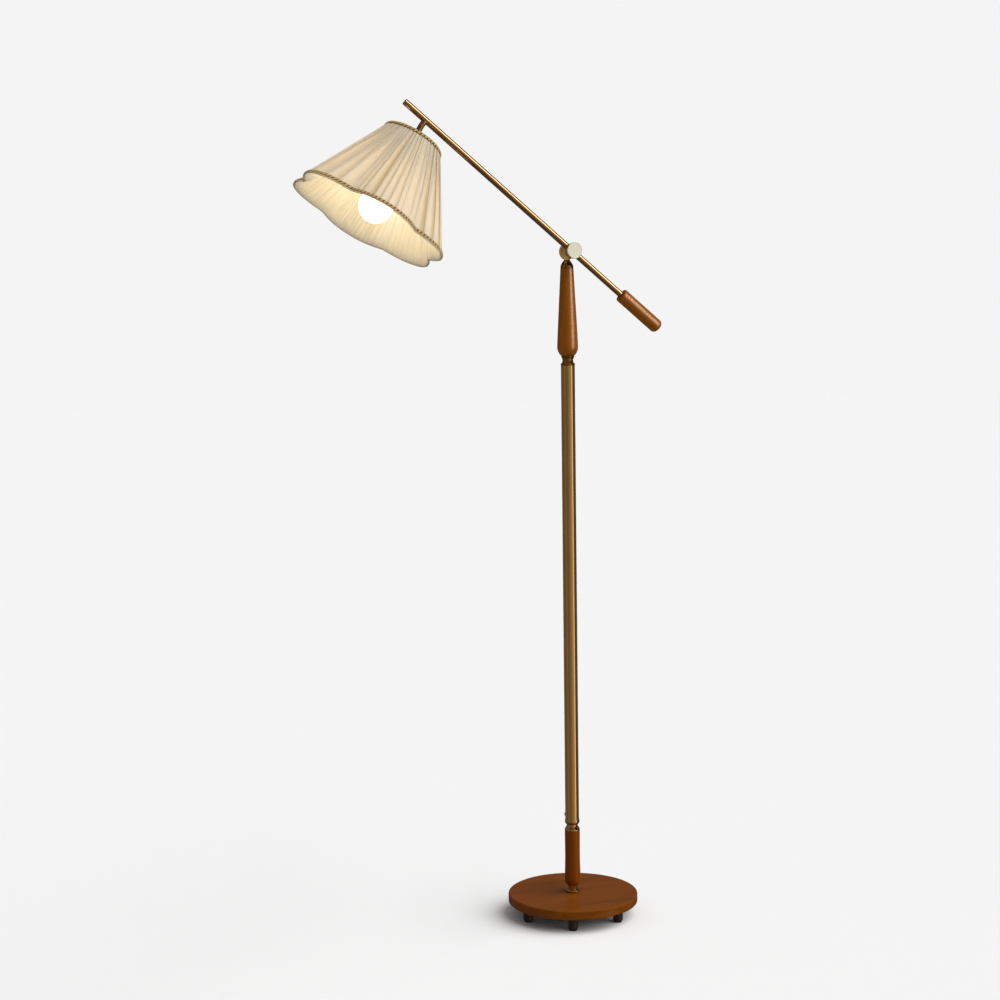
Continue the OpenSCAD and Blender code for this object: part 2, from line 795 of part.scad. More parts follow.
module swivel_pin() {
    head_t = 0.8;
    color(steel) in_head() rotate([90, 0, 0]) {
        cylinder(d = pin_d, h = swivel_d + 2 * eps, center = true);
        for (side = [-1, 1]) translate([0, 0, side * (swivel_d / 2 + head_t / 2)])
            cylinder(d = pin_head_d, h = head_t, center = true);
    }
}

module head_swivel() {
    color(antique_brass) in_head() difference() {
        union() {
            intersection() {
                union() {
                    rotate([90, 0, 0]) cylinder(r = cheek_r, h = tongue_w, center = true);
                    translate([-cheek_r, -tongue_w / 2, -shoulder_drop - eps])
                        cube([2 * cheek_r, tongue_w, shoulder_drop + eps]);
                }
                translate([0, 0, -shoulder_drop - 1]) cylinder(d = swivel_d, h = 2 * swivel_d);
            }
            translate([0, 0, -swivel_l]) cylinder(d = swivel_d, h = swivel_l - shoulder_drop);
        }
        rotate([90, 0, 0]) cylinder(d = pin_d + 2 * turn_gap, h = swivel_d, center = true);
        translate([0, 0, -swivel_l - eps]) cylinder(d = stem_thread_d + 2 * rod_gap, h = stem_thread_l);
    }
}

module holder_stem() {
    thread_top = swivel_l - stem_thread_l + 1;
    stem_end = holder_drop + stem_in_cap;
    color(antique_brass) in_head() difference() {
        union() {
            translate([0, 0, -swivel_l]) cylinder(d = stem_thread_d, h = swivel_l - thread_top);
            translate([0, 0, -stem_end]) cylinder(d = stem_d, h = stem_end - swivel_l);
        }
        translate([0, 0, -stem_end]) bore(stem_bore, stem_end - thread_top);
    }
}

module holder_cap() {
    holder_r = holder_d / 2;
    neck_w = 2.5;
    roof_t = 4;
    wall = 1;
    neck_r = stem_d / 2 + neck_w;
    color(antique_brass) in_head() translate([0, 0, -holder_body_z]) difference() {
        rotate_extrude() polygon(concat(
            [[0, 0], [holder_r, 0]],
            curve([holder_r, 4], [neck_r, holder_cap_h], [0, 9], [-4, 1.5]),
            [[0, holder_cap_h]]));
        rotate_extrude() polygon(concat(
            [[0, -eps], [holder_bore / 2, -eps]],
            curve([holder_bore / 2, 3], [neck_r - wall, holder_cap_h - roof_t], [0, 7], [-4, 1]),
            [[0, holder_cap_h - roof_t]]));
        bore(stem_d + 2 * rod_gap, holder_cap_h);
    }
}

module holder_body() {
    shoulder_w = 1.5;
    shoulder_t = 2;
    color(black_plastic) in_head() translate([0, 0, -holder_end]) difference() {
        union() {
            cylinder(d = holder_d, h = holder_body_h);
            translate([0, 0, holder_end - gallery_z]) cylinder(d = holder_d + 2 * shoulder_w, h = shoulder_t);
        }
        bore(holder_bore, holder_body_h);
    }
}

module holder_insert() {
    contact_r = 9;
    contact_d = 3;
    color(ceramic) in_head() translate([0, 0, -bulb_seat]) difference() {
        cylinder(d = holder_bore - 2 * rod_gap, h = insert_h);
        for (side = [-1, 1]) translate([side * contact_r, 0, 0]) bore(contact_d, insert_h);
    }
}

module shade_ring_nut() {
    nut_bore = holder_d + 2 * rod_gap;
    color(black_plastic) in_head() translate([0, 0, -gallery_z - gallery_t - ring_nut_h]) difference() {
        cylinder(d = ring_nut_d, h = ring_nut_h);
        bore(nut_bore, ring_nut_h);
    }
}

module bulb_cap() {
    button_d = 10;
    button_h = 3;
    cone_h = 4;
    cone_w = 6;
    color(steel) in_head() translate([0, 0, -bulb_seat]) rotate([180, 0, 0]) difference() {
        rotate_extrude() polygon([
            [0, 0], [button_d / 2, 0], [button_d / 2, button_h], [bulb_cap_d / 2 - cone_w, button_h],
            [bulb_cap_d / 2, button_h + cone_h], [bulb_cap_d / 2, bulb_cap_l], [0, bulb_cap_l]]);
        translate([0, 0, button_h + cone_h]) cylinder(d = bulb_cap_d - 2 * glass_t, h = bulb_cap_l);
    }
}

module bulb_glass() {
    color(opal) in_head() rotate([180, 0, 0]) rotate_extrude() difference() {
        bulb_outline(0);
        bulb_outline(glass_t);
    }
}

// Half of the bulb's section, drawn in by the thickness of its glass where that is given
module bulb_outline(inset) {
    globe_r = bulb_d / 2 - inset;
    neck_r = bulb_cap_d / 2 - glass_t - rod_gap - inset;
    neck_from = bulb_seat + bulb_cap_l - neck_grip - inset;
    join_a = 35;
    neck_straight = 2;
    pull = 12;
    join = [globe_r * cos(join_a), bulb_centre - globe_r * sin(join_a)];
    polygon(concat(
        [[0, neck_from], [neck_r, neck_from]],
        curve([neck_r, bulb_seat + bulb_cap_l + neck_straight], join,
            [0, pull], pull * [sin(join_a), cos(join_a)]),
        arc(0, bulb_centre, globe_r, globe_r, -join_a, 90, 16)));
}

// Radius of the shade's outer face at the rim, at an angle about its axis
function rim_r(a) =
    notch_r + (lobe_r - notch_r) * abs(sin((a - lobe_turn) * lobe_count / 2));

// A point a given distance inside the shade's outer face, at an angle and a depth below the top
function shade_point(a, depth, inset) =
    let (share = depth / shade_h, r = shade_top_r + (rim_r(a) - shade_top_r) * share - inset)
    [r * cos(a), r * sin(a), -shade_drop - depth];

rim_angles = [for (i = [0:rim_steps - 1]) lobe_turn + i * 360 / rim_steps];

// Faces that join closed rings of points, each ring to the next and the last to the first
function ring_faces(rings, per_ring) =
    [for (i = [0:rings - 1], j = [0:per_ring - 1])
        let (n = (i + 1) % rings, m = (j + 1) % per_ring)
        [i * per_ring + j, i * per_ring + m, n * per_ring + m, n * per_ring + j]];

// Faces of ring_faces as triangles, so that each is flat
function flat_faces(quads) =
    [for (q = quads, half = [0, 1]) half == 0 ? [q[0], q[1], q[2]] : [q[0], q[2], q[3]]];

// A closed band round the shade. Its section is a list of [depth, inset] corners.
module shade_band(section) {
    corners = len(section);
    polyhedron(
        [for (a = rim_angles, c = section) shade_point(a, c[0], c[1])],
        flat_faces(ring_faces(rim_steps, corners)));
}

module shade_cover() {
    color(linen) in_head() shade_band([
        [0, 0], [0, cover_t], [shade_h - hem, cover_t], [shade_h - hem, 0]]);
}

module shade_lining() {
    color(lining_cream) in_head() shade_band([
        [lining_top, lining_in], [lining_top, lining_in + lining_t],
        [shade_h - hem, lining_in + lining_t], [shade_h - hem, lining_in]]);
}

module rim_braid() {
    out = braid_t + layer_gap;
    top = shade_h - rim_braid_h;
    under = shade_h - hem + layer_gap;
    bottom = under + braid_floor_t;
    color(braid_gold) in_head() shade_band([
        [top, -layer_gap], [under, -layer_gap], [under, lining_in + lining_t],
        [bottom, lining_in + lining_t], [bottom, -out], [top, -out]]);
}

module top_braid() {
    from_r = shade_top_r + layer_gap;
    inner_r = shade_top_r - lining_in - lining_t;
    top = layer_gap + braid_floor_t;
    skirt_r = from_r + top_braid_h * lobe_slope;
    color(braid_gold) in_head() translate([0, 0, -shade_drop]) rotate_extrude()
        polygon([[inner_r, layer_gap], [from_r, layer_gap], [skirt_r, -top_braid_h],
            [skirt_r + braid_t, -top_braid_h], [from_r + braid_t, top], [inner_r, top]]);
}

// Swept along the lobes
module rim_wire() {
    wire_r = wire_d / 2;
    color(steel) in_head() polyhedron(
        [for (a = rim_angles, k = [0:wire_sides - 1]) let (turn = k * 360 / wire_sides)
            shade_point(a, rim_wire_depth - wire_r * sin(turn), wire_in - wire_r * cos(turn))],
        flat_faces(ring_faces(rim_steps, wire_sides)));
}

// A straight wire between two points
module wire(p, q, d) {
    v = q - p;
    l = norm(v);
    translate(p) rotate([0, acos(v[2] / l), atan2(v[1], v[0])]) cylinder(d = d, h = l);
}

// The ring that the lamp holder carries, with the spokes that hold the frame
module shade_carrier() {
    gallery_r = gallery_d / 2 - wire_d / 2;
    stub_r = top_wire_r - wire_d / 2 - rod_gap;
    bend_r = stub_r - spoke_stub_l;
    spoke_top = -shade_drop - top_wire_depth;
    color(steel) in_head() {
        for (i = [0:spoke_count - 1]) rotate([0, 0, lobe_turn + (i + 0.5) * 360 / spoke_count]) {
            wire([bend_r, 0, spoke_top], [stub_r, 0, spoke_top], wire_d);
            translate([bend_r, 0, spoke_top]) sphere(d = wire_d + spoke_bend_room);
            wire([gallery_r, 0, -gallery_z - gallery_t / 2], [bend_r, 0, spoke_top], rib_d);
        }
        translate([0, 0, -gallery_z - gallery_t]) difference() {
            cylinder(d = gallery_d, h = gallery_t);
            bore(holder_d + 4 * rod_gap, gallery_t);
        }
    }
}

module shade_frame() {
    rib_end = rim_wire_depth - wire_d / 2 - wire_lift;
    color(steel) in_head() {
        translate([0, 0, -shade_drop - top_wire_depth]) rotate_extrude()
            translate([top_wire_r, 0]) circle(wire_d / 2);
        for (i = [0:lobe_count - 1]) let (a = lobe_turn + i * 360 / lobe_count)
            wire(shade_point(a, top_wire_depth, wire_in), shade_point(a, rib_end, wire_in), rib_d);
    }
}

base_board();
feet();
foot_pads();
foot_screws();
base_weight();
weight_screws();
lead_bush();
base_nut();
base_washer();
lower_rod();
base_ring();
lower_stem();
lower_ferrule();
pole_bottom_plug();
pole_set_screw();
pole_tube();
pole_top_plug();
upper_collar();
upper_rod();
upper_baluster();
top_cap();
knuckle();
swing_clip();
pivot_bolt();
knuckle_washer();
knob_washer();
knob();
arm_boss();
arm_tube();
arm_tip_plug();
counterweight();
counterweight_core();
arm_lug();
swivel_pin();
head_swivel();
holder_stem();
holder_cap();
holder_body();
holder_insert();
shade_ring_nut();
bulb_cap();
bulb_glass();
shade_carrier();
shade_frame();
rim_wire();
shade_cover();
shade_lining();
top_braid();
rim_braid();
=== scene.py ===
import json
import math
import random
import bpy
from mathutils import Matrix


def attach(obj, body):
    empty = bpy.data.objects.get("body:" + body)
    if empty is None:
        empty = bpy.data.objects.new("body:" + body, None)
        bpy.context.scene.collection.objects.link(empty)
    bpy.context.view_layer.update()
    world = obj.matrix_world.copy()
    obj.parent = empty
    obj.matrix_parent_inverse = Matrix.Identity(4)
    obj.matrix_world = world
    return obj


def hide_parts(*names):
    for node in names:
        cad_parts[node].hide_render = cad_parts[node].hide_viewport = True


bl_info = {
    "name": "Bridge floor lamp",
    "version": (1, 0, 0),
    "blender": (4, 5, 0),
    "location": "3D View > Sidebar > Floor lamp",
    "description": "Dresses the fixed solids of a bridge floor lamp with its shade, trims and finishes",
    "category": "Object",
}

import bpy
from bpy.props import FloatProperty, FloatVectorProperty, IntProperty, PointerProperty
from bpy.types import Operator, Panel, PropertyGroup
from mathutils import Matrix, Vector, noise

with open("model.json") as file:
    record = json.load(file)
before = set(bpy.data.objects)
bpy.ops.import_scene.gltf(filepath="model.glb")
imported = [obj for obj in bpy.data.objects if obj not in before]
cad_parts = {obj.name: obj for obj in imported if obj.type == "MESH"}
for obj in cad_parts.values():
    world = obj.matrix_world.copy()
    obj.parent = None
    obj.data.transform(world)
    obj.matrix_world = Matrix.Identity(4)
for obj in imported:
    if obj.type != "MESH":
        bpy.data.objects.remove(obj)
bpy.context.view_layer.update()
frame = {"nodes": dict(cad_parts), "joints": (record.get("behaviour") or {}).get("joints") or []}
JOINT_PLACE = {joint["name"]: joint["pos_m"] for joint in frame["joints"]}

MM = 0.001
FULL_TURN = 2 * math.pi

# The arm's lean from plumb at rest: its brass is drawn, and its counterweight grained, along it
ARM_LEAN = math.radians(52)
# The brass that the overhead box is for
ARM_BRASS = (
    "arm_tube", "arm_tip_plug", "arm_lug", "swivel_pin", "head_swivel", "holder_stem", "holder_cap",
)
# The wood that the varnish lamps are for
VARNISHED = ("upper_baluster", "counterweight")


def linear(hex_code):
    """An sRGB hex code as the linear colour that a shader or a colour property takes."""
    channels = [int(hex_code[i : i + 2], 16) / 255 for i in (1, 3, 5)]
    return tuple(c / 12.92 if c <= 0.04045 else ((c + 0.055) / 1.055) ** 2.4 for c in channels)


def shade_of(colour, factor=1.0):
    """A colour as RGBA, made lighter or darker by a factor."""
    return tuple(min(c * factor, 1.0) for c in colour) + (1.0,)


# ---------------------------------------------------------------- sizes and colours


def colour_setting(name, description, hex_code):
    """A colour, written as its sRGB hex code."""
    return FloatVectorProperty(
        name=name, description=description, default=linear(hex_code), subtype="COLOR"
    )


def length_setting(name, description, millimetres):
    """A length, written in millimetres."""
    return FloatProperty(
        name=name, description=description, default=millimetres * MM, unit="LENGTH"
    )


def angle_setting(name, description, degrees):
    """An angle, written in degrees."""
    return FloatProperty(
        name=name, description=description, default=math.radians(degrees), subtype="ANGLE"
    )


def number_setting(name, description, default, **limits):
    """A plain number."""
    return FloatProperty(name=name, description=description, default=default, **limits)


class StageSettings(PropertyGroup):
    """Camera, floor and light."""

    camera_place: FloatVectorProperty(
        name="Camera place",
        description="Where the camera stands",
        default=(-1.4222, -2.8696, 1.039),
        subtype="TRANSLATION",
        unit="LENGTH",
    )
    camera_heading: angle_setting("Camera heading", "Turn of the view from +Y towards +X", 24)
    camera_pitch: angle_setting("Camera pitch", "How far the view points down", 4.13)
    camera_roll: angle_setting("Camera roll", "Turn of the picture anticlockwise", 0.718)
    lens: number_setting("Lens", "Focal length in millimetres on a 36 mm frame", 60.44)
    backdrop: colour_setting("Backdrop", "Colour behind the lamp", "#f4f4f4")
    floor: colour_setting("Floor", "Colour of the floor", "#f1f1f1")
    bounce: colour_setting("Floor bounce", "Floor colour that lights the lamp", "#b4b4b4")
    ambient: number_setting("Ambient", "Even light from all round", 0.3)
    key: number_setting("Key", "Strength of the soft light from the right", 3.2)
    tent: number_setting("Light tent", "Brightness of what metal and varnish show", 1.0)


class WoodSettings(PropertyGroup):
    """Turned and lacquered wood."""

    spindle: colour_setting("Spindle", "Colour of the upper spindle and counterweight", "#8d4f11")
    stem: colour_setting("Stem", "Colour of the lower spindle", "#7a3a06")
    base: colour_setting("Base", "Colour of the base", "#733c0a")
    grain: length_setting("Grain", "Distance between grain lines", 3)


class MetalSettings(PropertyGroup):
    """Brass and steel."""

    brass: colour_setting("Brass", "Colour of the antiqued brass", "#b98843")
    brown_brass: colour_setting("Brown brass", "Colour of the deeply browned brass", "#8c6029")
    worn_brass: colour_setting("Worn brass", "Colour of the knuckle's brushed faces", "#f3ce86")
    pale_brass: colour_setting("Pale brass", "Colour of the knob's brushed face", "#fff4dc")
    brass_roughness: number_setting(
        "Brass roughness", "Roughness of the satin brass", 0.12, min=0, max=1
    )
    steel: colour_setting("Steel", "Colour of the zinc plate", "#b9b9b6")


class ShadeSettings(PropertyGroup):
    """The pleated shade. Sizes are those of the solid that it stands for."""

    tilt: angle_setting("Tilt", "Lean of the shade's axis from plumb", 31.6)
    drop: length_setting("Drop", "From the swivel's pin to the shade's top", 29.5)
    height: length_setting("Height", "Height along the axis", 173.5)
    top_r: length_setting("Top radius", "Radius at the top", 54.5)
    notch_r: length_setting("Notch radius", "Rim radius between two lobes", 130)
    lobe_r: length_setting("Lobe radius", "Rim radius in the middle of a lobe", 153)
    lobes: IntProperty(name="Lobes", description="Number of lobes round the rim", default=6, min=3)
    lobe_turn: angle_setting("Lobe turn", "Turn of the first notch", 53.5)
    pleats: IntProperty(
        name="Pleats", description="Knife pleats in one lobe of the cover", default=7, min=2
    )
    pleat_lift: length_setting("Pleat lift", "How far a pleat's edge stands up", 1.7)
    fine_lift: length_setting("Fine folds", "Height of the fine folds at the top ring", 0.7)
    gathers: IntProperty(
        name="Gathers", description="Gathers in one lobe of the lining", default=16, min=2
    )
    gather_lift: length_setting("Gather lift", "Height of a gather in the lining", 2.2)
    hem_in: length_setting("Hem", "From the cover in to the lining at the rim", 2.4)
    lining_in: length_setting("Lining gap", "From the cover in to the lining", 5.9)
    cover: colour_setting("Cover", "Colour of the pleated cover", "#fbf5e8")
    cover_glow: colour_setting("Cover glow", "Colour of lamplight through the cover", "#fdecca")
    lining: colour_setting("Lining", "Colour of the lining", "#fdf2dc")
    lining_glow: colour_setting("Lining glow", "Colour of lamplight through the lining", "#ffeecf")


class TrimSettings(PropertyGroup):
    """Braid, binding and piping."""

    period: length_setting("Pitch", "From one loop of the braid to the next", 7.4)
    loop_w: length_setting("Loop width", "Width of a loop", 5.0)
    loop_h: length_setting("Loop height", "Height of a loop", 6.8)
    loop_t: length_setting("Loop thickness", "Thickness of a loop", 2.2)
    gold: colour_setting("Gold braid", "Colour of the braid", "#c9a255")
    # The braid's core is brown, and its dark colour also stands in for the shade between the loops
    brown: colour_setting("Brown core", "Colour of the braid's dark core", "#5e4618")
    binding: colour_setting("Binding", "Colour of the rim's binding", "#f1e9da")
    piping: colour_setting("Piping", "Colour of the dark cord at the rim", "#6b5836")


class BulbSettings(PropertyGroup):
    """The lit bulb."""

    glow: colour_setting("Glow", "Colour of the bulb's light", "#fff4e2")
    strength: number_setting("Strength", "Brightness of the glass", 10.7, min=0)


# ---------------------------------------------------------------- materials


def add(tree, kind, inputs=None, **settings):
    """Adds a node. inputs gives each socket a value or the output that feeds it."""
    node = tree.nodes.new(kind)
    for name, value in settings.items():
        setattr(node, name, value)
    for socket, value in (inputs or {}).items():
        if isinstance(value, bpy.types.NodeSocket):
            tree.links.new(value, node.inputs[socket])
        else:
            node.inputs[socket].default_value = value
    return node


def blank(name):
    """An empty material, and its node tree."""
    material = bpy.data.materials.new(name)
    material.use_nodes = True
    material.node_tree.nodes.clear()
    return material, material.node_tree


def show(tree, shader):
    """Makes a shader the material's surface."""
    add(tree, "ShaderNodeOutputMaterial", {"Surface": shader.outputs[0]})


def object_place(tree):
    """Places on the object, in metres."""
    return add(tree, "ShaderNodeTexCoord").outputs["Object"]


def mapped(tree, place, **change):
    """Places with a Scale or a Rotation."""
    return add(tree, "ShaderNodeMapping", {"Vector": place, **change}).outputs["Vector"]


def blotches(tree, place, detail, scale=1.0, distortion=0.0):
    """Noise, as a factor."""
    inputs = {"Vector": place, "Scale": scale, "Detail": detail, "Distortion": distortion}
    return add(tree, "ShaderNodeTexNoise", inputs).outputs["Fac"]


def between(tree, factor, low, high, blend_type="MIX"):
    """A colour that goes from low to high as the factor rises."""
    mix = add(
        tree,
        "ShaderNodeMix",
        {"Factor": factor, "A": low, "B": high},
        data_type="RGBA",
        blend_type=blend_type,
    )
    return mix.outputs["Result"]


def relief(tree, height, strength, distance):
    """A normal that small bumps tilt."""
    inputs = {"Height": height, "Strength": strength, "Distance": distance}
    return add(tree, "ShaderNodeBump", inputs).outputs[0]


def lacquered_wood(name, wood, colour, lean):
    """Walnut, turned and sealed with satin lacquer: long darker lines, and a soft highlight."""
    material, tree = blank(name)
    turned = mapped(tree, object_place(tree), Rotation=(0, lean, 0))
    # Real walnut grain is finer than a millimetre. It is drawn at 3 mm, so that it shows.
    lines = 1 / wood.grain
    grain = blotches(
        tree, mapped(tree, turned, Scale=(lines, lines, lines / 30)), 6.0, distortion=0.4
    )
    figure = blotches(tree, mapped(tree, turned, Scale=(lines / 6, lines / 6, lines / 60)), 3.0)
    both = add(tree, "ShaderNodeMath", {0: grain, 1: figure}, operation="ADD").outputs[0]
    share = add(tree, "ShaderNodeMapRange", {"Value": both, "From Min": 0.7, "From Max": 1.3})
    dark, light = shade_of(colour, 0.72), shade_of(colour, 1.2)
    surface = add(
        tree,
        "ShaderNodeBsdfPrincipled",
        {
            "Base Color": between(tree, share.outputs[0], dark, light),
            "Roughness": 0.3,
            "IOR": 1.5,
            "Specular IOR Level": 0.14,
            # Old lacquer has yellowed, so its highlight is warm
            "Specular Tint": (1.0, 0.72, 0.45, 1.0),
            "Normal": relief(tree, figure, 0.05, 0.1 * MM),
        },
    )
    show(tree, surface)
    return material


def satin_metal(
    name, colour, roughness, marks=0.15, stretch=(1, 1, 0.05), lean=0.0, lacquer=0.0
):
    """A metal with fine drawing or brushing marks, which soften its highlight."""
    material, tree = blank(name)
    place = object_place(tree)
    # Real marks are about 0.1 mm apart. They are drawn at 0.8 mm, so that they show.
    size = tuple(s / (0.8 * MM) for s in stretch)
    turned = mapped(tree, place, Rotation=(0, lean, 0))
    fine = blotches(tree, mapped(tree, turned, Scale=size), 3.0)
    # Wear, in clouds about 33 mm across
    cloud = blotches(tree, place, 3.0, scale=30.0)
    rough = add(
        tree,
        "ShaderNodeMapRange",
        {"Value": fine, "To Min": roughness * (1 - marks), "To Max": roughness * (1 + marks)},
    )
    surface = add(
        tree,
        "ShaderNodeBsdfPrincipled",
        {
            "Base Color": between(tree, cloud, shade_of(colour, 0.92), shade_of(colour, 1.08)),
            "Metallic": 1.0,
            "Roughness": rough.outputs[0],
            "Coat Weight": lacquer,
            "Coat Roughness": 0.08,
            "Coat IOR": 1.5,
        },
    )
    show(tree, surface)
    return material


def plain_solid(
    name, colour, roughness, ior, speck=0.15, speck_size=1.5 * MM, bump_depth=0.05 * MM
):
    """A moulded, pressed or fired solid with a faintly uneven skin."""
    material, tree = blank(name)
    grit = blotches(tree, object_place(tree), 4.0, scale=1 / speck_size)
    dark, light = shade_of(colour, 1 - speck), shade_of(colour, 1 + speck)
    surface = add(
        tree,
        "ShaderNodeBsdfPrincipled",
        {
            "Base Color": between(tree, grit, dark, light),
            "Roughness": roughness,
            "IOR": ior,
            "Specular IOR Level": 0.3,
            "Normal": relief(tree, grit, 0.3, bump_depth),
        },
    )
    show(tree, surface)
    return material


def glowing_cloth(name, colour, through, share, streak, folded=0.0):
    """Thin woven cloth that lets lamplight through. It is painted darker where its mesh says:
    partly where it lies in three thicknesses, partly as painted shade in its folds. folded sets how
    much darker.
    """
    material, tree = blank(name)
    sheet_place = add(tree, "ShaderNodeUVMap").outputs["UV"]
    # Threads lie 0.25 mm apart. The streaks are drawn at streak, so that they show.
    threads = blotches(tree, mapped(tree, sheet_place, Scale=(1 / streak, 0.06 / streak, 1)), 5.0)
    # How much darker the cloth is painted: partly for three thicknesses, partly painted shade in folds
    layers_and_fold_shade = add(tree, "ShaderNodeAttribute", attribute_name="layers_and_fold_shade").outputs["Fac"]
    sides = []
    # The darkening takes less from what the cloth sends back, where it is painted shade, than from
    #         # what it lets through
    for tone, fall in ((colour, 0.55), (through, 1.0)):
        tint = between(tree, threads, shade_of(tone, 0.9), shade_of(tone, 1.07))
        # It takes most of the blue, so lamplight through the folds turns golden, and the painted shade
        #         # is golden too
        dim = tuple(1 - loss * folded * fall for loss in (1.0, 1.3, 2.0)) + (1.0,)
        sides.append(between(tree, layers_and_fold_shade, tint, between(tree, 1.0, tint, dim, "MULTIPLY")))
    normal = relief(tree, threads, 0.25, 0.4 * MM)
    face = add(
        tree,
        "ShaderNodeBsdfPrincipled",
        {"Base Color": sides[0], "Roughness": 0.8, "Sheen Weight": 0.1, "Normal": normal},
    )
    back = add(tree, "ShaderNodeBsdfTranslucent", {"Color": sides[1], "Normal": normal})
    show(tree, add(tree, "ShaderNodeMixShader", {0: share, 1: face.outputs[0], 2: back.outputs[0]}))
    return material


def spun_thread(name, colour, low, high, twist):
    """Twisted thread of viscose, with a slight silk shine. Its colour is painted darker in the
    grooves between its plies and lighter on their crests, as painted shade and highlight.
    """
    material, tree = blank(name)
    sheet_place = add(tree, "ShaderNodeUVMap").outputs["UV"]
    ply_bump_and_painted_shade = add(
        tree,
        "ShaderNodeTexWave",
        {"Vector": sheet_place, "Scale": 0.31 / twist, "Distortion": 0.6, "Detail": 1.0},
        bands_direction="DIAGONAL",
    ).outputs["Fac"]
    surface = add(
        tree,
        "ShaderNodeBsdfPrincipled",
        {
            # Painted shade in the grooves between the plies, and painted highlight on their crests
            "Base Color": between(tree, ply_bump_and_painted_shade, shade_of(colour, low), shade_of(colour, high)),
            "Roughness": 0.55,
            "Sheen Weight": 0.3,
            "Normal": relief(tree, ply_bump_and_painted_shade, 0.5, 0.3 * MM),
        },
    )
    show(tree, surface)
    return material


def lit_glass(name, bulb):
    """Opal glass with a lamp in it: even and white, brighter than what stands round it."""
    material, tree = blank(name)
    surface = add(
        tree,
        "ShaderNodeBsdfPrincipled",
        {
            "Base Color": shade_of(linear("#fffaf0")),
            "Roughness": 0.2,
            "IOR": 1.5,
            "Emission Color": shade_of(bulb.glow),
            "Emission Strength": bulb.strength,
        },
    )
    show(tree, surface)
    return material


def lit_card(name, strength):
    """A studio card that shines evenly."""
    material, tree = blank(name)
    show(tree, add(tree, "ShaderNodeEmission", {"Strength": strength}))
    return material


def paint(material, *names):
    """Gives CAD nodes their finish."""
    for name in names:
        mesh = frame["nodes"][name].data
        mesh.materials.clear()
        mesh.materials.append(material)


# ---------------------------------------------------------------- shapes


def head_matrix(shade):
    """From the shade's own frame, with its axis along Z and the swivel's pin at the origin."""
    pin = Matrix.Translation(Vector(JOINT_PLACE["head_tilt"]))
    return pin @ Matrix.Rotation(shade.tilt, 4, "Y")


def rim_radius(shade, turn):
    """Radius of the cover at the rim. Cloth rounds off the sharp notch of the solid a little."""
    swing = abs(math.sin((turn - shade.lobe_turn) * shade.lobes / 2))
    soft = 0.05
    bulge = (math.hypot(swing, soft) - soft) / (math.hypot(1, soft) - soft)
    return shade.notch_r + (shade.lobe_r - shade.notch_r) * bulge


def cone_radius(shade, turn, share):
    """Radius of the shade's smooth cone at a share of its height, from the top down."""
    return shade.top_r + (rim_radius(shade, turn) - shade.top_r) * share


def shade_point(shade, turn, depth, out):
    """A point of the shade at a depth below its top, and a distance outside its smooth cone."""
    radius = cone_radius(shade, turn, depth / shade.height) + out
    return Vector((radius * math.cos(turn), radius * math.sin(turn), -shade.drop - depth))


def build(name, shade, points, faces, uvs, material, layers_and_fold_shade=None):
    """A smooth mesh object in the shade's frame, with one texture place for each point."""
    matrix = head_matrix(shade)
    mesh = bpy.data.meshes.new(name)
    mesh.from_pydata([matrix @ Vector(p) for p in points], [], faces)
    layer = mesh.uv_layers.new(name="UVMap")
    for loop in mesh.loops:
        layer.data[loop.index].uv = uvs[loop.vertex_index]
    for polygon in mesh.polygons:
        polygon.use_smooth = True
    if layers_and_fold_shade:
        mesh.attributes.new("layers_and_fold_shade", "FLOAT", "POINT").data.foreach_set("value", layers_and_fold_shade)
    mesh.materials.append(material)
    piece = bpy.data.objects.new(name, mesh)
    bpy.context.scene.collection.objects.link(piece)
    return piece


def grid_faces(columns, rows, wrap_columns=True, wrap_rows=False):
    """Quads over points that are stored column by column."""
    last_column = columns if wrap_columns else columns - 1
    last_row = rows if wrap_rows else rows - 1
    faces = []
    for i in range(last_column):
        for j in range(last_row):
            a, b = i * rows, (i + 1) % columns * rows
            k = (j + 1) % rows
            faces.append((a + j, a + k, b + k, b + j))
    return faces


def smooth_step(low, high, value):
    """0 below low, 1 above high, and a smooth rise between them."""
    t = min(max((value - low) / (high - low), 0.0), 1.0)
    return t * t * (3 - 2 * t)


def uneven_widths(count, spread, chance):
    """Angles of count folds round a circle, each up to spread wider or narrower than the mean."""
    widths = [1 + chance.uniform(-spread, spread) for _ in range(count)]
    total = sum(widths)
    return [FULL_TURN * w / total for w in widths]


# One knife pleat from its edge to the next: (share of the pleat, height). The cloth then runs on
# under the next pleat by the tuck, turns, and comes back to the next edge.
PLEAT_FACE = [
    (0.0, 0.5), (0.015, 0.76), (0.05, 0.93), (0.12, 1.0), (0.22, 0.98), (0.34, 0.9), (0.46, 0.76),
    (0.58, 0.57), (0.68, 0.38), (0.78, 0.19), (0.87, 0.04), (0.94, -0.06), (1.0, -0.12),
]
PLEAT_TUCK = [
    (0.35, -0.2), (0.7, -0.26), (0.95, -0.26), (1.0, -0.18), (0.93, -0.1), (0.6, -0.02),
    (0.25, 0.06),
]
# Height of one gather of the lining, from its start to the next one's
GATHER = [0.0, 0.55, 0.9, 1.0, 0.85, 0.45]


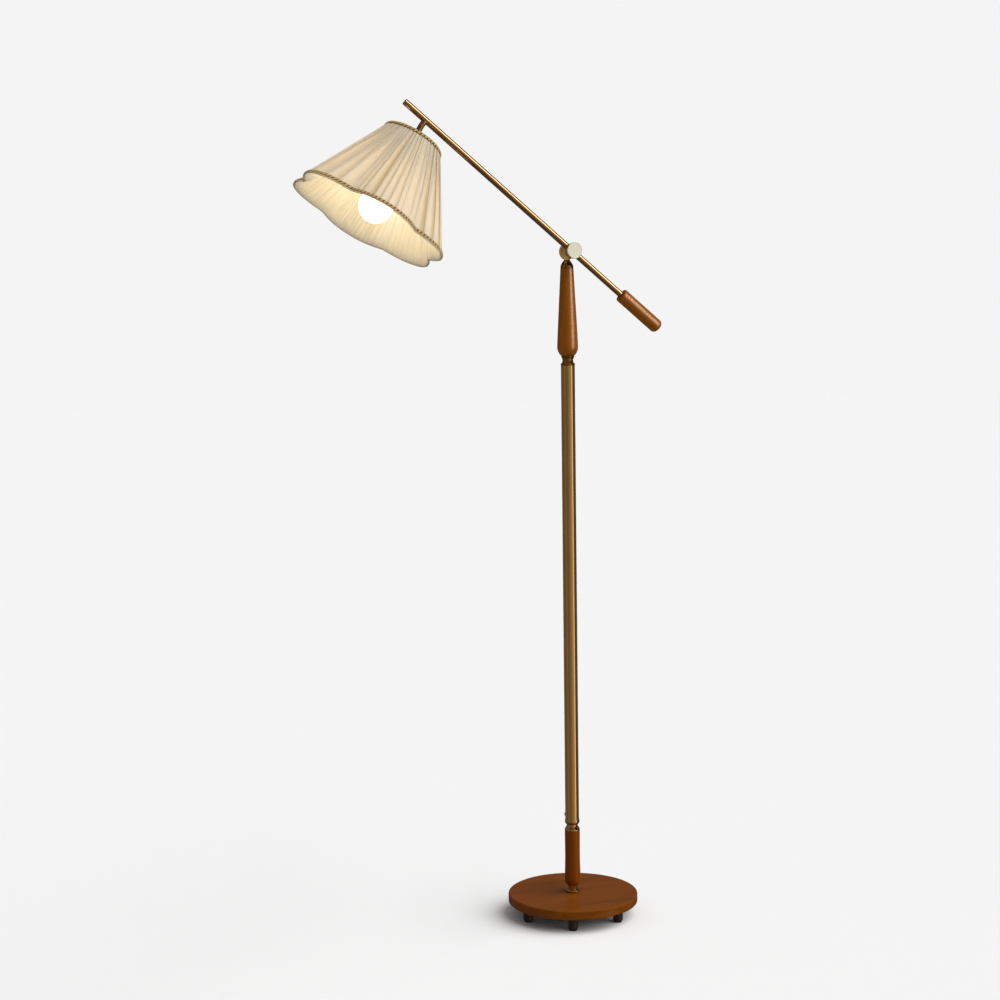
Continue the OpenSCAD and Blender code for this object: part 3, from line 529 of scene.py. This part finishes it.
def pleated_cover(shade, material):
    """The cover: uneven knife pleats that open from the top ring to the rim."""
    chance = random.Random(11)
    count = shade.pleats * shade.lobes
    widths = uneven_widths(count, 0.5, chance)
    lifts = [chance.uniform(0.6, 1.35) for _ in range(count)]
    drifts = [chance.uniform(-0.35, 0.35) for _ in range(count)]
    # How deep each pleat's painted crevice shade is
    fold_shade_depths = [chance.uniform(0.2, 1.0) for _ in range(count)]
    rows, short_of_rim, cloth_length = 40, 1 * MM, 0.2
    least_tuck, most_tuck, cloth_per_rim = 0.1, 0.55, 1.12
    points, uvs, layers_and_fold_shade = [], [], []
    start, cloth = shade.lobe_turn, 0.0
    for i, width in enumerate(widths):
        middle, following = start + width / 2, (i + 1) % count
        rim_length = width * rim_radius(shade, middle)
        for place, height in PLEAT_FACE + [(1 + t, h) for t, h in PLEAT_TUCK]:
            for j in range(rows):
                share = j / (rows - 1)
                depth = share * (shade.height - short_of_rim)
                mean_r = cone_radius(shade, middle, share)
                spare = (rim_length * cloth_per_rim / (width * mean_r) - 1) / 2
                tuck = min(max(spare, least_tuck), most_tuck)
                along = place if place <= 1 else 1 + (place - 1) * tuck
                # Edges wander a little between the ring and the rim, as sewn pleats do
                blend = min(along, 1.0)
                drift = drifts[i] * (1 - blend) + drifts[following] * blend
                turn = start + width * (along + 0.3 * drift * math.sin(math.pi * share))
                lift = lifts[i] * (1 - blend) + lifts[following] * blend
                free = smooth_step(0.0, 0.12, share) * smooth_step(1.0, 0.8, share)
                pinned = 0.45 + 0.55 * free
                narrow = 1 - 0.45 * share
                broad = noise.noise(Vector((turn * 24, share * 1.5, 4.0))) * narrow
                fine = noise.noise(Vector((turn * 60, share * 1.2, 7.0))) * (1 - share)
                ripple = (broad + fine) * shade.fine_lift
                # The cloth's outermost folds, and not its mean, reach the size of the shade
                fold = shade.pleat_lift * narrow * (lift * height - 0.6)
                points.append(shade_point(shade, turn, depth, (fold + ripple) * pinned))
                face_length = along if place <= 1 else 1 + (place - 1) * 0.5
                uvs.append((cloth + rim_length * face_length, share * cloth_length))
                # Painted highlight and shade: a pleat's edge is painted lightest, and the cloth is
                #                 # painted darker towards the next edge, as shade in the crevice.
                #                 Towards the top ring, where
                #                 # it lies closer, it is painted darker too: partly three thicknesses,
                #                 partly shade.
                crevice_shade = fold_shade_depths[i] * smooth_step(0.4, 1.0, place)
                edge_highlight_fade = smooth_step(0.4 * MM, 2.5 * MM, place * width * mean_r)
                painted_fold_shade = (0.12 + 0.2 * (1 - share) + 0.75 * crevice_shade) * edge_highlight_fade
                layers_and_fold_shade.append(1.0 if place > 1 else painted_fold_shade)
        start += width
        cloth += rim_length * 1.5
    faces = grid_faces(count * (len(PLEAT_FACE) + len(PLEAT_TUCK)), rows)
    return build("pleated_cover", shade, points, faces, uvs, material, layers_and_fold_shade)


def gathered_lining(shade, material):
    """The lining: fine uneven gathers that run from the top ring to the rim."""
    chance = random.Random(23)
    count = shade.gathers * shade.lobes
    widths = uneven_widths(count, 0.45, chance)
    lifts = [chance.uniform(0.3, 1.35) for _ in range(count)]
    # How deep each gather's painted shade is
    fold_shade_depths = [chance.uniform(0.2, 1.0) for _ in range(count)]
    # The lining starts below the cover's top edge, and is shorter than the cover
    below_top, shorter = 1.5 * MM, 2.1 * MM
    rows, cloth_length, gather_cloth = 28, 0.2, 8 * MM
    points, uvs, layers_and_fold_shade = [], [], []
    start, cloth = shade.lobe_turn, 0.0
    for i, width in enumerate(widths):
        for k, height in enumerate(GATHER):
            place = k / len(GATHER)
            turn = start + width * place
            for j in range(rows):
                share = j / (rows - 1)
                depth = below_top + share * (shade.height - shorter)
                pinned = 0.35 + 0.65 * smooth_step(0.0, 0.1, share) * smooth_step(1.0, 0.9, share)
                wave = noise.noise(Vector((turn * 6, share * 2, 9.0))) * 0.8 * MM
                inward = (shade.gather_lift * lifts[i] * height + wave) * pinned
                # Just above the rim the lining draws in to the cover, round the wire
                edge = smooth_step(0.955, 1.0, share)
                inset = (shade.lining_in + inward) * (1 - edge) + shade.hem_in * edge
                points.append(shade_point(shade, turn, depth, -inset))
                uvs.append((cloth + place * gather_cloth, share * cloth_length))
                # Painted shade: darker where the gather lies back towards the cover, between two ridges
                layers_and_fold_shade.append(fold_shade_depths[i] * (1 - height))
        start += width
        cloth += gather_cloth
    faces = grid_faces(count * len(GATHER), rows)
    return build("gathered_lining", shade, points, faces, uvs, material, layers_and_fold_shade)


def ring_path(shade, depth, out):
    """Turns evenly spaced along a ring of the shade, and the ring's length up to each."""
    steps = 720
    turns = [FULL_TURN * i / steps for i in range(steps + 1)]
    places = [shade_point(shade, t, depth, out) for t in turns]
    run = [0.0]
    for a, b in zip(places, places[1:]):
        run.append(run[-1] + (b - a).length)
    return turns, run


def turn_at(turns, run, distance):
    """The turn at a distance along a ring."""
    distance %= run[-1]
    low, high = 0, len(run) - 1
    while high - low > 1:
        middle = (low + high) // 2
        if run[middle] <= distance:
            low = middle
        else:
            high = middle
    share = (distance - run[low]) / (run[high] - run[low])
    return turns[low] + (turns[high] - turns[low]) * share


def braid_ring(name, shade, trim, material, depth):
    """A scroll braid: slanting loops of twisted thread, side by side, sewn round a ring."""
    out, slant, slices, sides = 1.2 * MM, 0.55, 7, 10
    turns, run = ring_path(shade, depth, out)
    loops = round(run[-1] / trim.period)
    pitch = run[-1] / loops
    points, uvs, faces = [], [], []
    for i in range(loops):
        base = len(points)
        for j in range(slices):
            latitude = math.pi * (j / (slices - 1) - 0.5)
            side, swell = math.sin(latitude) * trim.loop_h / 2, max(math.cos(latitude), 0.12)
            for k in range(sides):
                angle = FULL_TURN * k / sides
                # Loops slant: their upper end lies further round the ring
                along = side * slant + math.cos(angle) * swell * trim.loop_w / 2
                turn = turn_at(turns, run, (i + 0.5) * pitch + along)
                raised = math.sin(angle) * swell * trim.loop_t / 2
                points.append(shade_point(shade, turn, depth - side, out + raised))
                uvs.append((i * pitch + trim.loop_w * k / sides, side + trim.loop_h / 2))
        faces += [tuple(base + v for v in face) for face in grid_faces(slices, sides, False, True)]
        faces.append(tuple(base + k for k in range(sides)))
        faces.append(tuple(base + (slices - 1) * sides + k for k in reversed(range(sides))))
    return build(name, shade, points, faces, uvs, material)


# Sections of the trims in millimetres, as (down, out)
CORE_SECTION = [(-3.2, -0.6), (-3.2, 0.4), (-2.1, 0.9), (2.1, 0.9), (3.2, 0.4), (3.2, -0.6)]
BINDING_SECTION = [
    (-2.6, -0.2), (-2.4, 0.6), (-1.4, 0.8), (-0.5, 0.7), (0.2, 0.2), (0.3, -0.6), (0.0, -1.0),
    (-0.4, -0.8),
]


def round_section(down, out, radius):
    """A cord's section in millimetres, about (down, out)."""
    turns = [FULL_TURN * k / 8 for k in range(8)]
    return [(down + radius * math.sin(a), out + radius * math.cos(a)) for a in turns]


def swept_band(name, shade, material, depth, section):
    """A folded strip or a cord round the shade, whose section lies about a depth below the top."""
    steps, step_length = 288, 3 * MM
    places = [(depth + down * MM, out * MM) for down, out in section]
    length = [0.0]
    for a, b in zip(places, places[1:]):
        length.append(length[-1] + math.dist(a, b))
    points, uvs = [], []
    for i in range(steps):
        turn = shade.lobe_turn + FULL_TURN * i / steps
        for (down, out), v in zip(places, length):
            points.append(shade_point(shade, turn, down, out))
            uvs.append((i * step_length, v))
    faces = grid_faces(steps, len(section), wrap_rows=True)
    return build(name, shade, points, faces, uvs, material)


# ---------------------------------------------------------------- operators

# Brightness round the light tent, as (degrees from the camera's side towards the right, value)
WALL_GLOW = [
    (-126, 0.22), (-96, 0.2), (-73, 0.25), (-53, 0.33), (-38, 0.24), (-20, 0.23), (-5, 0.3),
    (8, 0.37), (20, 0.45), (45, 0.65), (60, 0.85), (63, 2.0), (73, 2.0), (75, 0.15),
    (122, 0.14), (150, 0.1), (210, 0.1),
]
WALL_MOST = 2.0
WALL_R, WALL_LOW, WALL_HIGH = 3.4, -4.0, 6.0
# A point of the overhead box, and the steps from there to its side and towards its upper edge
BOX_PLACE = Vector((2.14, -1.87, 2.31))
BOX_ACROSS, BOX_UPWARD = Vector((0.27, 0.49, 0.35)), Vector((-0.57, -0.24, 0.79))


class LampOperator:
    """What the lamp's operators share."""

    bl_options = {"REGISTER", "UNDO"}


class LAMP_OT_stage(LampOperator, Operator):
    """Sets the camera, the pale floor, the backdrop and the soft light"""

    bl_idname = "lamp.stage"
    bl_label = "Stage"

    def execute(self, context):
        scene = context.scene
        stage = scene.lamp_stage
        heading, pitch = stage.camera_heading, stage.camera_pitch
        flat = math.cos(pitch)
        ahead = Vector((math.sin(heading) * flat, math.cos(heading) * flat, -math.sin(pitch)))
        level = Vector((math.cos(heading), -math.sin(heading), 0))
        self.camera(scene, stage, ahead, level)
        self.key(scene, stage, ahead, level)
        self.tent(scene, stage)
        self.cards(scene, stage)
        self.varnish_lamps(scene, stage)
        self.floor(scene, stage)
        self.world(scene, stage)
        scene.view_settings.view_transform = "Standard"
        return {"FINISHED"}

    def camera(self, scene, stage, ahead, level):
        """The photograph's view."""
        roll = stage.camera_roll
        upward = level.cross(ahead)
        right = level * math.cos(roll) - upward * math.sin(roll)
        up = upward * math.cos(roll) + level * math.sin(roll)
        lens = bpy.data.cameras.new("camera")
        lens.lens = stage.lens
        lens.sensor_width = 36
        lens.sensor_fit = "HORIZONTAL"
        lens.clip_end = 200
        camera = bpy.data.objects.new("camera", lens)
        camera.matrix_world = Matrix.Translation(stage.camera_place) @ Matrix(
            (right, up, -ahead)
        ).transposed().to_4x4()
        scene.collection.objects.link(camera)
        scene.camera = camera

    def key(self, scene, stage, ahead, level):
        """A wide soft light from the right, above, and a little in front."""
        key = bpy.data.lights.new("key", "SUN")
        key.energy = stage.key
        key.angle = math.radians(75)
        lamp = bpy.data.objects.new("key", key)
        towards = level * 1.0 - ahead * 0.25 + Vector((0, 0, 1.05))
        lamp.rotation_euler = towards.to_track_quat("Z", "Y").to_euler()
        lamp.visible_glossy = False
        scene.collection.objects.link(lamp)

    def camera_side(self, stage):
        """Turn of the camera about the pole."""
        return math.atan2(stage.camera_place[1], stage.camera_place[0])

    def tent(self, scene, stage):
        """Walls that only polished surfaces show: dim, with a bright strip at the right."""
        sides = 96
        turns = [FULL_TURN * i / sides for i in range(sides)]
        points = [
            (WALL_R * math.cos(t), WALL_R * math.sin(t), z)
            for t in turns
            for z in (WALL_LOW, WALL_HIGH)
        ]
        material, tree = blank("lit_studio_wall")
        place = object_place(tree)
        turn = add(tree, "ShaderNodeTexGradient", {"Vector": place}, gradient_type="RADIAL")
        ramp = add(tree, "ShaderNodeValToRGB", {"Fac": turn.outputs["Fac"]})
        start = self.camera_side(stage) / FULL_TURN + 0.5
        stops = sorted(((start + t / 360) % 1, value / WALL_MOST) for t, value in WALL_GLOW)
        stops = [(0.0, stops[0][1])] + stops + [(1.0, stops[-1][1])]
        elements = ramp.color_ramp.elements
        elements.remove(elements[1])
        elements[0].color = (stops[0][1],) * 3 + (1,)
        for position, value in stops[1:]:
            elements.new(position).color = (value,) * 3 + (1,)
        height = add(tree, "ShaderNodeSeparateXYZ", {"Vector": place}).outputs["Z"]
        # The wall is half as bright below the floor, and above the lamp
        most = WALL_MOST * stage.tent
        parts = [
            add(
                tree,
                "ShaderNodeMapRange",
                {"Value": height, "From Min": low, "From Max": high, "To Min": a, "To Max": b},
            ).outputs[0]
            for low, high, a, b in ((-1.1, -0.7, 0.5, 1.0), (2.8, 3.4, most, 0.5 * most))
        ]
        strength = add(tree, "ShaderNodeMath", {0: parts[0], 1: parts[1]}, operation="MULTIPLY")
        glow = {"Color": ramp.outputs["Color"], "Strength": strength.outputs[0]}
        show(tree, add(tree, "ShaderNodeEmission", glow))
        self.shown_in_gloss(scene, "light_tent", points, grid_faces(sides, 2), material)

    def cards(self, scene, stage):
        """A bright box overhead and a dim floor, which only polished surfaces show."""
        # The box is high on the right, and draws the bright line along the arm
        box = self.shown_in_gloss(
            scene,
            "overhead_box",
            [
                BOX_PLACE + BOX_ACROSS * i + BOX_UPWARD * j
                for i, j in ((-1, -1), (1, -1), (1, 1.4), (-1, 1.4))
            ],
            [(0, 1, 2, 3)],
            lit_card("lit_overhead_box", 10.0 * stage.tent),
        )
        box.light_linking.receiver_collection = self.group("brass_of_the_arm", ARM_BRASS)
        # The floor keeps the arm's lower side dark
        self.shown_in_gloss(
            scene,
            "dim_floor",
            [(WALL_R * i, WALL_R * j, WALL_LOW) for i, j in ((-1, -1), (1, -1), (1, 1), (-1, 1))],
            [(0, 1, 2, 3)],
            lit_card("dim_studio_floor", 0.2 * stage.tent),
        )

    def group(self, name, nodes):
        """A collection of CAD nodes that one light or card is for."""
        collection = bpy.data.collections.new(name)
        for node in nodes:
            collection.objects.link(frame["nodes"][node])
        return collection

    def varnish_lamps(self, scene, stage):
        """Two soft boxes that draw the highlight on the turned wood alone."""
        woods = self.group("turned_wood", VARNISHED)
        aim = Vector((0, 0, 0.9))
        turn = self.camera_side(stage) + math.radians(60)
        side_place = Vector((3 * math.cos(turn), 3 * math.sin(turn), aim.z))
        for name, place, width, height, power in (
            ("varnish_side", side_place, 0.5, 3.0, 260),
            ("varnish_high", BOX_PLACE * 0.8, 0.3, 1.0, 70),
        ):
            box = bpy.data.lights.new(name, "AREA")
            box.shape = "RECTANGLE"
            box.size, box.size_y = width, height
            box.energy = power * stage.tent
            lamp = bpy.data.objects.new(name, box)
            lamp.location = place
            lamp.rotation_euler = (place - aim).to_track_quat("Z", "Y").to_euler()
            lamp.visible_diffuse = lamp.visible_camera = lamp.visible_transmission = False
            lamp.light_linking.receiver_collection = woods
            scene.collection.objects.link(lamp)

    def shown_in_gloss(self, scene, name, points, faces, material):
        """A lit card that polished surfaces show, and that lights nothing else."""
        # Gloss finds the card by its own rays. Sampling it as a lamp would add noise on the wood
        material.cycles.emission_sampling = "NONE"
        mesh = bpy.data.meshes.new(name)
        mesh.from_pydata(points, [], faces)
        mesh.materials.append(material)
        card = bpy.data.objects.new(name, mesh)
        card.visible_camera = card.visible_diffuse = card.visible_shadow = False
        card.visible_transmission = card.visible_volume_scatter = False
        scene.collection.objects.link(card)
        return card

    def floor(self, scene, stage):
        """A wide plain floor that takes the lamp's shadow."""
        mesh = bpy.data.meshes.new("floor")
        half = 60.0
        mesh.from_pydata(
            [(-half, -half, 0), (half, -half, 0), (half, half, 0), (-half, half, 0)],
            [],
            [(0, 1, 2, 3)],
        )
        material, tree = blank("painted_floor")
        seen = add(tree, "ShaderNodeLightPath").outputs["Is Camera Ray"]
        bounce = add(tree, "ShaderNodeBsdfDiffuse", {"Color": shade_of(stage.bounce)}).outputs[0]
        pale = add(tree, "ShaderNodeBsdfDiffuse", {"Color": shade_of(stage.floor)}).outputs[0]
        show(tree, add(tree, "ShaderNodeMixShader", {0: seen, 1: bounce, 2: pale}))
        mesh.materials.append(material)
        floor = bpy.data.objects.new("floor", mesh)
        # Polished surfaces show the tent's wall there, which reaches below the floor
        floor.visible_glossy = False
        scene.collection.objects.link(floor)

    def world(self, scene, stage):
        """Even light, and the backdrop's own colour where camera, gloss or clear glass looks."""
        # The tent and the cards stand before it, so that gloss shows them in its place
        world = bpy.data.worlds.new("studio")
        scene.world = world
        world.use_nodes = True
        tree = world.node_tree
        tree.nodes.clear()
        path = add(tree, "ShaderNodeLightPath").outputs
        seen = path["Is Camera Ray"]
        for ray in ("Is Glossy Ray", "Is Transmission Ray"):
            seen = add(
                tree, "ShaderNodeMath", {0: seen, 1: path[ray]}, operation="MAXIMUM"
            ).outputs[0]
        white, backdrop = (1.0, 1.0, 1.0, 1.0), shade_of(stage.backdrop)
        even = add(tree, "ShaderNodeBackground", {"Color": white, "Strength": stage.ambient})
        pale = add(tree, "ShaderNodeBackground", {"Color": backdrop, "Strength": 1.0})
        both = add(
            tree, "ShaderNodeMixShader", {0: seen, 1: even.outputs[0], 2: pale.outputs[0]}
        )
        add(tree, "ShaderNodeOutputWorld", {"Surface": both.outputs[0]})


class LAMP_OT_wood(LampOperator, Operator):
    """Finishes the wooden base, the two spindles and the counterweight"""

    bl_idname = "lamp.wood"
    bl_label = "Wood"

    def execute(self, context):
        wood = context.scene.lamp_wood
        for name, colour, lean, node in (
            ("turned_lacquered_dark_walnut", wood.stem, 0, "lower_stem"),
            ("turned_lacquered_walnut", wood.spindle, 0, "upper_baluster"),
            ("sanded_lacquered_walnut", wood.base, math.radians(90), "base_board"),
            ("turned_walnut_along_the_arm", wood.spindle, ARM_LEAN, "counterweight"),
        ):
            paint(lacquered_wood(name, wood, colour, lean), node)
        return {"FINISHED"}


class LAMP_OT_metal(LampOperator, Operator):
    """Finishes the brass, steel and iron pieces"""

    bl_idname = "lamp.metal"
    bl_label = "Metal"

    def execute(self, context):
        metal = context.scene.lamp_metal
        satin = metal.brass_roughness
        across = (0.1, 1, 1)
        # Antiqued brass under clear lacquer, drawn or turned: warm brown, with a crisp bright line
        paint(
            satin_metal("lacquered_antique_brass", metal.brass, satin, lacquer=0.7),
            "base_ring", "lower_ferrule", "pole_set_screw", "pole_tube",
        )
        # The arm's brass is more deeply browned, and drawn along the arm
        paint(
            satin_metal(
                "lacquered_brass_of_the_arm", metal.brown_brass, satin, lean=ARM_LEAN, lacquer=1.0
            ),
            *ARM_BRASS,
        )
        # Turned and browned, without lacquer: dark, with a plain soft line
        paint(
            satin_metal("browned_brass", metal.brown_brass, satin),
            "upper_collar", "top_cap", "arm_boss",
        )
        # The knuckle's faces are brushed, so they stay evenly brown
        paint(
            satin_metal("brushed_antique_brass", metal.worn_brass, 0.45, 0.2, across),
            "knuckle", "pivot_bolt",
        )
        # Brushed brass, nearly silver: the marks run across the knob's face
        paint(satin_metal("brushed_pale_brass", metal.pale_brass, 0.35, 0.2, across), "knob")
        # Zinc-plated steel: grey, a little dull
        paint(
            satin_metal("zinc_plated_steel", metal.steel, 0.35),
            "foot_screws", "weight_screws", "base_nut", "base_washer", "lower_rod",
            "pole_bottom_plug", "pole_top_plug", "upper_rod", "swing_clip", "counterweight_core",
            "shade_carrier", "shade_frame",
        )
        # Nickel-plated screw cap of the bulb: brighter and smoother
        paint(satin_metal("nickel_plated_brass", linear("#cfcac0"), 0.22), "bulb_cap")
        # Cast iron under black paint: dark and rough
        paint(
            plain_solid("painted_cast_iron", linear("#2c2a28"), 0.6, 1.5, 0.25, 3 * MM, 0.3 * MM),
            "base_weight",
        )
        return {"FINISHED"}


class LAMP_OT_small_parts(LampOperator, Operator):
    """Finishes the feet, pads, bush, washers and lamp holder"""

    bl_idname = "lamp.small_parts"
    bl_label = "Small parts"

    def execute(self, context):
        # Moulded phenolic: nearly black, with a brown cast and a dull shine
        paint(
            plain_solid("moulded_black_phenolic", linear("#2e1c0e"), 0.4, 1.5),
            "feet", "lead_bush", "holder_body", "shade_ring_nut",
        )
        # Pressed felt: dull and fibrous
        paint(
            plain_solid("pressed_felt", linear("#2b2622"), 0.95, 1.4, 0.3, 0.8 * MM, 0.3 * MM),
            "foot_pads",
        )
        # Vulcanised fibre: dull red-brown
        paint(
            plain_solid("pressed_red_fibre", linear("#5a2c20"), 0.6, 1.5),
            "knuckle_washer", "knob_washer",
        )
        # Steatite under a thin glaze: smooth and white
        paint(plain_solid("glazed_steatite", linear("#ece8e0"), 0.3, 1.6, 0.05), "holder_insert")
        return {"FINISHED"}


class LAMP_OT_bulb(LampOperator, Operator):
    """Lights the opal bulb"""

    bl_idname = "lamp.bulb"
    bl_label = "Bulb"

    def execute(self, context):
        paint(lit_glass("blown_opal_glass", context.scene.lamp_bulb), "bulb_glass")
        return {"FINISHED"}


class LAMP_OT_shade(LampOperator, Operator):
    """Makes the pleated cover, the gathered lining and the trims of the shade"""

    bl_idname = "lamp.shade"
    bl_label = "Shade"

    def execute(self, context):
        scene = context.scene
        shade, trim = scene.lamp_shade, scene.lamp_trim
        # Polyester chiffon, pleated and sewn to the frame: dull, thin and slightly streaked
        chiffon = glowing_cloth(
            "pleated_chiffon", shade.cover, shade.cover_glow, 0.48, 1.5 * MM, 0.58
        )
        cover = pleated_cover(shade, chiffon)
        # Satin-weave lining, gathered: warm and bright where the bulb lights it
        weave = glowing_cloth(
            "gathered_satin_lining", shade.lining, shade.lining_glow, 0.38, 2.0 * MM, 0.13
        )
        lining = gathered_lining(shade, weave)
        gold = spun_thread("twined_gold_viscose", trim.gold, 0.6, 1.2, 1.6 * MM)
        # A brown core behind each braid's loops. Its dark colour also stands in for the shade in the
        # gaps between the loops
        core = spun_thread("brown_viscose_core_and_gap_shade", trim.brown, 0.8, 1.1, 1.2 * MM)
        satin = glowing_cloth(
            "folded_satin_binding", trim.binding, shade.cover_glow, 0.55, 1.5 * MM
        )
        dark = spun_thread("twisted_brown_piping", trim.piping, 0.7, 1.1, 1.2 * MM)
        steel = satin_metal("galvanised_steel_wire", scene.lamp_metal.steel, 0.35)
        # Depths of the rim's edge and of the middles of the two braids
        edge = shade.height
        high, low = 1.6 * MM, edge - 5.0 * MM
        top = braid_ring("top_plait", shade, trim, gold, high)
        rim = braid_ring("rim_plait", shade, trim, gold, low)
        top_core = swept_band("top_core", shade, core, high, CORE_SECTION)
        rim_core = swept_band("rim_core", shade, core, low, CORE_SECTION)
        binding = swept_band("rim_binding", shade, satin, edge, BINDING_SECTION)
        wire = swept_band("thin_rim_wire", shade, steel, edge, round_section(-2.6, -2.4, 1.0))
        piping = swept_band("rim_piping", shade, dark, edge, round_section(0.3, -0.2, 0.45))
        for piece, node, slot_name in (
            (cover, "shade_cover", "shade_cloth"),
            (lining, "shade_lining", "lining_cloth"),
            (top, "top_braid", "braid"),
            (rim, "rim_braid", "braid"),
            (top_core, None, "braid"),
            (rim_core, None, "braid"),
            (binding, None, "braid"),
            (piping, None, "braid"),
            (wire, "rim_wire", "frame_wire"),
        ):
            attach(piece, "head")
            if node:
                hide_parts(node)
        self.declare(cover, lining, [top, rim, top_core, rim_core, binding, piping])
        return {"FINISHED"}

    def declare(self, cover, lining, trims):
        """Takes the cover, the lining and the trims, and does nothing with them."""


class LAMP_PT_panel(Panel):
    """Lists the lamp's operators and sizes"""

    bl_label = "Floor lamp"
    bl_idname = "LAMP_PT_panel"
    bl_space_type = "VIEW_3D"
    bl_region_type = "UI"
    bl_category = "Floor lamp"

    def draw(self, context):
        for group_name, operator in STEPS:
            box = self.layout.box()
            box.operator(operator)
            group = getattr(context.scene, group_name, None)
            if group is not None:
                for name in group.__annotations__:
                    box.prop(group, name)


STEPS = [
    ("lamp_stage", "lamp.stage"),
    ("lamp_wood", "lamp.wood"),
    ("lamp_metal", "lamp.metal"),
    ("", "lamp.small_parts"),
    ("lamp_bulb", "lamp.bulb"),
    ("lamp_shade", "lamp.shade"),
]
GROUPS = {
    "lamp_stage": StageSettings,
    "lamp_wood": WoodSettings,
    "lamp_metal": MetalSettings,
    "lamp_shade": ShadeSettings,
    "lamp_trim": TrimSettings,
    "lamp_bulb": BulbSettings,
}
OPERATORS = (
    LAMP_OT_stage, LAMP_OT_wood, LAMP_OT_metal, LAMP_OT_small_parts, LAMP_OT_bulb, LAMP_OT_shade,
)


def register():
    for group in GROUPS.values():
        bpy.utils.register_class(group)
    for name, group in GROUPS.items():
        setattr(bpy.types.Scene, name, PointerProperty(type=group))
    for operator in OPERATORS:
        bpy.utils.register_class(operator)
    bpy.utils.register_class(LAMP_PT_panel)


def unregister():
    bpy.utils.unregister_class(LAMP_PT_panel)
    for operator in reversed(OPERATORS):
        bpy.utils.unregister_class(operator)
    for name in GROUPS:
        delattr(bpy.types.Scene, name)
    for group in reversed(GROUPS.values()):
        bpy.utils.unregister_class(group)


def main():
    register()
    for _, step in STEPS:
        area, name = step.split(".")
        getattr(getattr(bpy.ops, area), name)()


if __name__ == "__main__":
    main()
